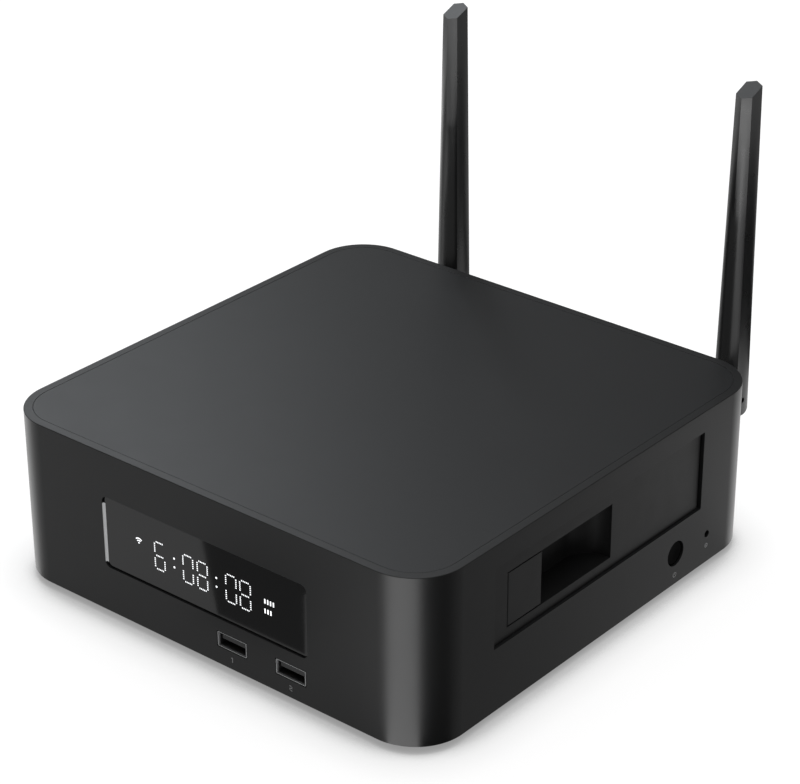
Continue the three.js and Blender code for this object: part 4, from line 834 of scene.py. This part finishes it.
def lan_inside():
    """Liner, contacts and lights of the LAN port, whose opening steps down for the latch."""
    x, half, latch = -42, 6.35, 3.15
    back, mouth = 86.75, PORT_FACE - 0.3
    low, top, latch_low = 11.8, 19.8, 9.6
    bars_of("lan_liner", "black_insulator", [
        (x - half, x + half, back, back + 0.5, low, top),
        (x - half, x - half + 0.35, back, mouth, low, top),
        (x + half - 0.35, x + half, back, mouth, low, top),
        (x - half, x + half, back, mouth, top - 0.3, top - 0.05),
        (x - half, x - latch - 0.1, back, mouth, low, low + 0.2),
        (x + latch + 0.1, x + half, back, mouth, low, low + 0.2),
        (x - latch, x + latch, back, mouth, latch_low, latch_low + 0.2),
        (x - latch, x - latch + 0.2, back, mouth, latch_low, low + 0.2),
        (x + latch - 0.2, x + latch, back, mouth, latch_low, low + 0.2),
    ], look="port_tongue")
    wires = [x + (i - 3.5) * 1.02 for i in range(8)]
    bars_of("lan_contacts", "gold_brass", [
        (w - 0.16, w + 0.16, back + 0.4, PORT_FACE - 2.2, top - 1.5, top - 1.2) for w in wires])
    bars_of("lan_lights", None, [
        (light - 1.1, light + 1.1, PORT_FACE - 0.05, PORT_FACE + 0.05, 8.35, 9.55)
        for light in (x - 6.2, x + 6.2)], look="light_pipe")


def hdmi_inside(name, x):
    """Tongue of an HDMI port with contacts above and below."""
    middle, half = BOARD_TOP + 2.8, 5.78
    bars_of("hdmi_tongue_" + name, "black_insulator", [
        (x - half, x + half, PORT_FACE - 7.9, PORT_FACE - 0.32, middle - 0.73, middle + 0.73)], 0.1)
    strips = [(x + i - 4.5, middle + s * 0.74) for i in range(10) for s in (-1, 1)]
    bars_of("hdmi_contacts_" + name, "gold_brass", [
        (xs - 0.2, xs + 0.2, PORT_FACE - 7.0, PORT_FACE - 0.8, z - 0.03, z + 0.03)
        for xs, z in strips])


def small_ports():
    """Shutter of the optical port, ring of the audio jack, and the inlet's pin and ring."""
    x, z = 44, BOARD_TOP + 4.9
    shutter = prism("optical_shutter", rounded(7.3, 7.3, 0.35, (x, z), 3), "y", 97.6, 98.2)
    rib = prism("rib", rounded(4.2, 0.5, 0.1, (x, z + 1.6), 2), "y", 98.1, 98.45)
    shutter = joined("optical_shutter", [shutter, rib])
    piece(soften(shutter, 0.1), "grey_insulator", look="port_tongue")
    profile = [(1.72, 98.6), (1.72, 99.42), (1.85, 99.5), (2.45, 99.5), (2.6, 99.38), (2.6, 98.6)]
    piece(soften(hoop("audio_ring", profile, "y", (60, 12.0)), 0), "bright_steel")
    inlet = (-62, BOARD_TOP + 6.5)
    profile = [(1.18, 86.5), (1.18, 98.7), (0.9, 99.05), (0, 99.1)]
    piece(soften(turned("inlet_pin", profile, "y", inlet, 24), 0), "bright_steel")
    profile = [(3.05, 98.4), (3.05, 99.36), (3.2, 99.42), (3.45, 99.42), (3.55, 99.3), (3.55, 98.4)]
    piece(soften(hoop("inlet_ring", profile, "y", inlet), 0), "bright_steel")


# ---- everything in its place --------------------------------------------------------------------

housing()
lid()
window()
window_edge()
display_marks()
usb_port("left", USB_LEFT, USB_MOUTH, 1)
usb_port("right", USB_RIGHT, USB_MOUTH, 1)
usb_port("rear", USB_REAR, PORT_FACE, -1)
for side, x in (("left", -ANTENNA_X), ("right", ANTENNA_X)):
    blade(side, x)
    hinge_pin(side, x)
    nut(side, x)
    base(side, x)
power_key()
side_marks()
front_marks()
back_screws()
lan_inside()
hdmi_inside("out", -18)
hdmi_inside("in", 3)
small_ports()

for name, slot, width in [
    ("bottom_plate", "black_steel", 0.12),
    ("foot_front_left", "foot_rubber", 0.3), ("foot_front_right", "foot_rubber", 0.3),
    ("foot_rear_left", "foot_rubber", 0.3), ("foot_rear_right", "foot_rubber", 0.3),
    ("display_tube", "display_glass", 0.1), ("display_board", "circuit_board", 0),
    ("display_ribbon", "ribbon_plastic", 0), ("main_board", "circuit_board", 0),
    ("processor", "black_insulator", 0.1), ("heat_sink", "bare_aluminium", 0.1),
    ("rear_panel", "black_steel", 0.1), ("lan_jack", "bright_steel", 0),
    ("hdmi_port_out", "bright_steel", 0.06), ("hdmi_port_in", "bright_steel", 0.06),
    ("optical_port", "black_insulator", 0.15), ("audio_jack", "black_insulator", 0.12),
    ("power_inlet", "black_insulator", 0.12), ("fan_frame", "moulded_black", 0.12),
    ("fan_rotor", "moulded_black", 0.12), ("drive_cage", "plated_steel", 0.08),
    ("guide_rail_front", "rail_plastic", 0.12), ("guide_rail_rear", "rail_plastic", 0.12),
    ("sata_board", "circuit_board", 0), ("sata_connector", "black_insulator", 0.1),
    ("sata_ribbon", "ribbon_plastic", 0), ("tray_bezel", "moulded_black", 0.16),
    ("tray_cradle", "moulded_black", 0.14), ("drive_pad_front", "foot_rubber", 0.1),
    ("drive_pad_rear", "foot_rubber", 0.1), ("lever_pin", "bright_steel", 0),
    ("latch_lever", "moulded_black", 0.14), ("power_switch", "black_insulator", 0.1),
    ("reset_plunger", "moulded_black", 0.05), ("reset_switch", "black_insulator", 0.1),
    ("antenna_jack_left", "gold_brass", 0.08), ("antenna_jack_right", "gold_brass", 0.08),
]:
    dress(name, slot, width)


# ---- floor and world ----------------------------------------------------------------------------

FLOOR_HALF = 6.0  # metres
FLOOR_MIRRORED = 0.4  # how lit the floor is to mirrors and glass
SHADOW_REACH = 0.02  # metres
# How open the floor is above a point, and how light it looks there
SHADOW_TONES = (
    (0.2, 0.29), (0.5, 0.345), (0.565, 0.4), (0.6, 0.49), (0.635, 0.575), (0.673, 0.65),
    (0.71, 0.695), (0.76, 0.73), (0.82, 0.755), (0.92, 0.79),
)
SHADOW_DARKEST, SHADOW_LIGHTEST = 0.27, 0.82
HAZE_RISE, HAZE_START = 0.12, -0.14  # whitens the floor far away
WORLD_LIGHT, WORLD_MIRRORED, WORLD_SEEN = 0.4, 0.18, 1.0
WHITE = (1, 1, 1, 1)


def grey(level):
    return (level, level, level, 1)


def flat_object(name, corners, level):
    """One flat face in the row frame, at a level in metres."""
    mesh = bpy.data.meshes.new(name)
    mesh.from_pydata([(x, y, level) for x, y in corners], [], [tuple(range(len(corners)))])
    return linked(name, mesh)


def floor():
    """White floor that the camera sees lit evenly, with a shadow where things stand close."""
    limits = (-FLOOR_HALF, FLOOR_HALF)
    obj = flat_object("floor", oblong(*limits, *limits), 0.0)
    look = Look("floor", Base_Color=grey(0.25), Roughness=0.9, Specular_IOR_Level=0.0)
    path = look.node("ShaderNodeLightPath").outputs
    indirect = look.calculate("MAXIMUM", path["Is Glossy Ray"], path["Is Transmission Ray"])
    mirrored = look.calculate("MULTIPLY", indirect, FLOOR_MIRRORED)
    reach = {"Distance": SHADOW_REACH}
    open_to = look.node("ShaderNodeAmbientOcclusion", reach, samples=16).outputs["AO"]
    near = look.node("ShaderNodeValToRGB", {"Fac": open_to})
    stops = near.color_ramp.elements
    stops[0].position, stops[1].position = 0.0, 1.0
    stops[0].color, stops[1].color = grey(SHADOW_DARKEST), grey(SHADOW_LIGHTEST)
    for at, tone in SHADOW_TONES:
        stops.new(at).color = grey(tone)
    away = look.node("ShaderNodeVectorMath", {0: look.where}, operation="LENGTH").outputs["Value"]
    haze = look.calculate("MULTIPLY_ADD", away, HAZE_RISE, HAZE_START, clamp=True)
    shown = look.calculate("ADD", near.outputs["Color"], haze)
    lit = look.calculate("MULTIPLY_ADD", shown, path["Is Camera Ray"], mirrored)
    look.shader.inputs["Emission Color"].default_value = WHITE
    look.feed("Emission Strength", lit)
    obj.data.materials.append(look.material)


def world():
    """Even white surroundings, with their own strength for mirrors and for the camera."""
    made = bpy.data.worlds.new("studio")
    scene.world = made
    made.use_nodes = True
    tree = made.node_tree
    tree.nodes.clear()
    out = tree.nodes.new("ShaderNodeOutputWorld")
    path = tree.nodes.new("ShaderNodeLightPath")

    def background(strength):
        shader = tree.nodes.new("ShaderNodeBackground")
        shader.inputs["Color"].default_value = WHITE
        shader.inputs["Strength"].default_value = strength
        return shader.outputs[0]

    result = background(WORLD_LIGHT)
    for ray, strength in (("Is Glossy Ray", WORLD_MIRRORED), ("Is Camera Ray", WORLD_SEEN)):
        mix = tree.nodes.new("ShaderNodeMixShader")
        tree.links.new(path.outputs[ray], mix.inputs[0])
        tree.links.new(result, mix.inputs[1])
        tree.links.new(background(strength), mix.inputs[2])
        result = mix.outputs[0]
    tree.links.new(result, out.inputs[0])


# ---- lamps, cards and camera --------------------------------------------------------------------

VIEW_AZIMUTH, VIEW_ELEVATION, VIEW_ROLL = 39.888, 27.326, 0.163  # degrees
VIEW_FROM = (0.5671, -0.687185, 0.5242)  # metres
VIEW_LENS = 117.63
CARD_LEVEL = 0.0004  # metres
BLADE_LAMP_Y = 0.093  # metres, just before the blades
# Places across and up, widths and heights in metres, and energies
BLADE_LAMPS = {
    "left_low": (-0.068, 0.085, 0.028, 0.06, 0.0022),
    "left_high": (-0.066, 0.143, 0.024, 0.05, 0.0052),
    "right_wide": (0.062, 0.08, 0.026, 0.07, 0.0014),
    "right_low": (0.0865, 0.085, 0.025, 0.06, 0.0079),
    "right_high": (0.084, 0.14, 0.03, 0.05, 0.011),
}
# Middles of the housing's round corners in the row frame
FRONT_RIGHT, FRONT_LEFT, REAR_RIGHT = (81.5, -98.2), (-81.5, -98.2), (81.5, 64.8)


def area(name, where, target, size, energy, colour=(1, 1, 1)):
    light = bpy.data.lights.new(name, "AREA")
    light.shape = "RECTANGLE"
    light.size, light.size_y = size
    light.energy = energy
    light.color = colour
    obj = linked(name, light)
    obj.location = where
    obj.visible_camera = False
    direction = Vector(target) - obj.location
    obj.rotation_euler = direction.to_track_quat("-Z", "Y").to_euler()
    return obj


def card(name, corners, strength, ramp=None):
    """Studio card flat on the floor that only reflections see. With a ramp of (strength at the
    far end, start, end, direction) it changes from one strength to the other."""
    obj = flat_object(name, [(x * MM, y * MM) for x, y in corners], CARD_LEVEL)
    obj.visible_camera = obj.visible_diffuse = obj.visible_shadow = False
    obj.visible_transmission = obj.visible_volume_scatter = False
    look = Look(name, Base_Color=grey(0), Roughness=1.0, Specular_IOR_Level=0.0)
    look.shader.inputs["Emission Color"].default_value = WHITE
    look.shader.inputs["Emission Strength"].default_value = strength
    if ramp:
        far_strength, start, end, direction = ramp
        inputs = {0: look.where, 1: direction}
        along = look.node("ShaderNodeVectorMath", inputs, operation="DOT_PRODUCT").outputs["Value"]
        inputs = {"Value": along, "From Min": start * MM, "From Max": end * MM,
                  "To Min": strength, "To Max": far_strength}
        smooth = look.node("ShaderNodeMapRange", inputs, interpolation_type="SMOOTHSTEP")
        look.feed("Emission Strength", smooth.outputs[0])
    obj.data.materials.append(look.material)


def mirrored_by(corner, start, end, reach, steps=8):
    """Floor that an upright round corner mirrors towards the camera, between two azimuths."""

    def foot(azimuth):
        turn = math.radians((azimuth + VIEW_AZIMUTH) / 2)
        return (corner[0] + CORNER * math.sin(turn), corner[1] - CORNER * math.cos(turn))

    def far(azimuth):
        turn, (x, y) = math.radians(azimuth), foot(azimuth)
        return (x + reach * math.sin(turn), y - reach * math.cos(turn))

    azimuths = [start + (end - start) * i / steps for i in range(steps + 1)]
    return [foot(a) for a in azimuths] + [far(a) for a in reversed(azimuths)]


def camera():
    """The photo's camera, as fitted to the housing's edges."""
    azimuth, elevation, roll = (
        math.radians(v) for v in (VIEW_AZIMUTH, VIEW_ELEVATION, VIEW_ROLL))
    back = Vector((math.sin(azimuth) * math.cos(elevation),
                   -math.cos(azimuth) * math.cos(elevation), math.sin(elevation)))
    right = (-back).cross(Vector((0, 0, 1))).normalized()
    down = (-back).cross(right)
    across = right * math.cos(roll) + down * math.sin(roll)
    up = -(down * math.cos(roll) - right * math.sin(roll))
    data = bpy.data.cameras.new("camera")
    data.lens = VIEW_LENS
    data.sensor_width = 36
    data.clip_start, data.clip_end = 0.05, 50
    obj = linked("camera", data)
    turn = Matrix((across, up, back)).transposed().to_4x4()
    obj.matrix_world = Matrix.Translation(Vector(VIEW_FROM)) @ turn
    scene.camera = obj


floor()
world()
area("softbox", (-1.38, 0.61, 1.37), (0, 0, 0.07), (1.24, 1.04), 12.3, (0.92, 0.96, 1.0))
area("overhead", (0.1, 0.0, 1.5), (0, 0, 0), (1.6, 1.6), 14)
for name, (x, z, width, height, energy) in BLADE_LAMPS.items():
    lamp = area("blade_fill_" + name, (x, BLADE_LAMP_Y, z), (x, 0.2, z), (width, height), energy)
    lamp.visible_diffuse = False
card("card_bright", mirrored_by(FRONT_RIGHT, -17, 46, 700), 4.5)
card("card_dark", mirrored_by(FRONT_RIGHT, 50, 112, 900), 0.05)
card("card_side", [(101.9, -103.3), (215, -57.6), (215, 216), (160, 216), (102.4, 68)],
     0.29, (0.64, -145, 5, (-0.707, 0.707, 0)))
card("card_far", [(222, -54), (480, 50), (480, 430), (330, 430), (330, 216), (222, 216)], 0.06)
card("card_rear", mirrored_by(REAR_RIGHT, 158, 215, 143), 1.6)
card("card_left", mirrored_by(FRONT_LEFT, -150, -78, 180), 1.8)
card("card_antenna", [(-20, 195), (60, 222), (158, 222), (162, 216.2), (320, 216.2), (320, 430),
                      (170, 430), (105, 290), (-20, 240)], 0.03)
card("card_blade", [(-470, 0), (-290, 40), (-215, 75), (-150, 160), (-150, 260), (-300, 400),
                    (-470, 400)], 2.6, (0.9, -420, -250, (1, 0, 0)))
card("card_window", [(-60.8, -179.7), (-19.6, -144.6), (23.9, -145), (-3.3, -175.6), (-5, -190),
                     (-70, -190)], 0.15)
camera()
scene.view_settings.view_transform = "Standard"
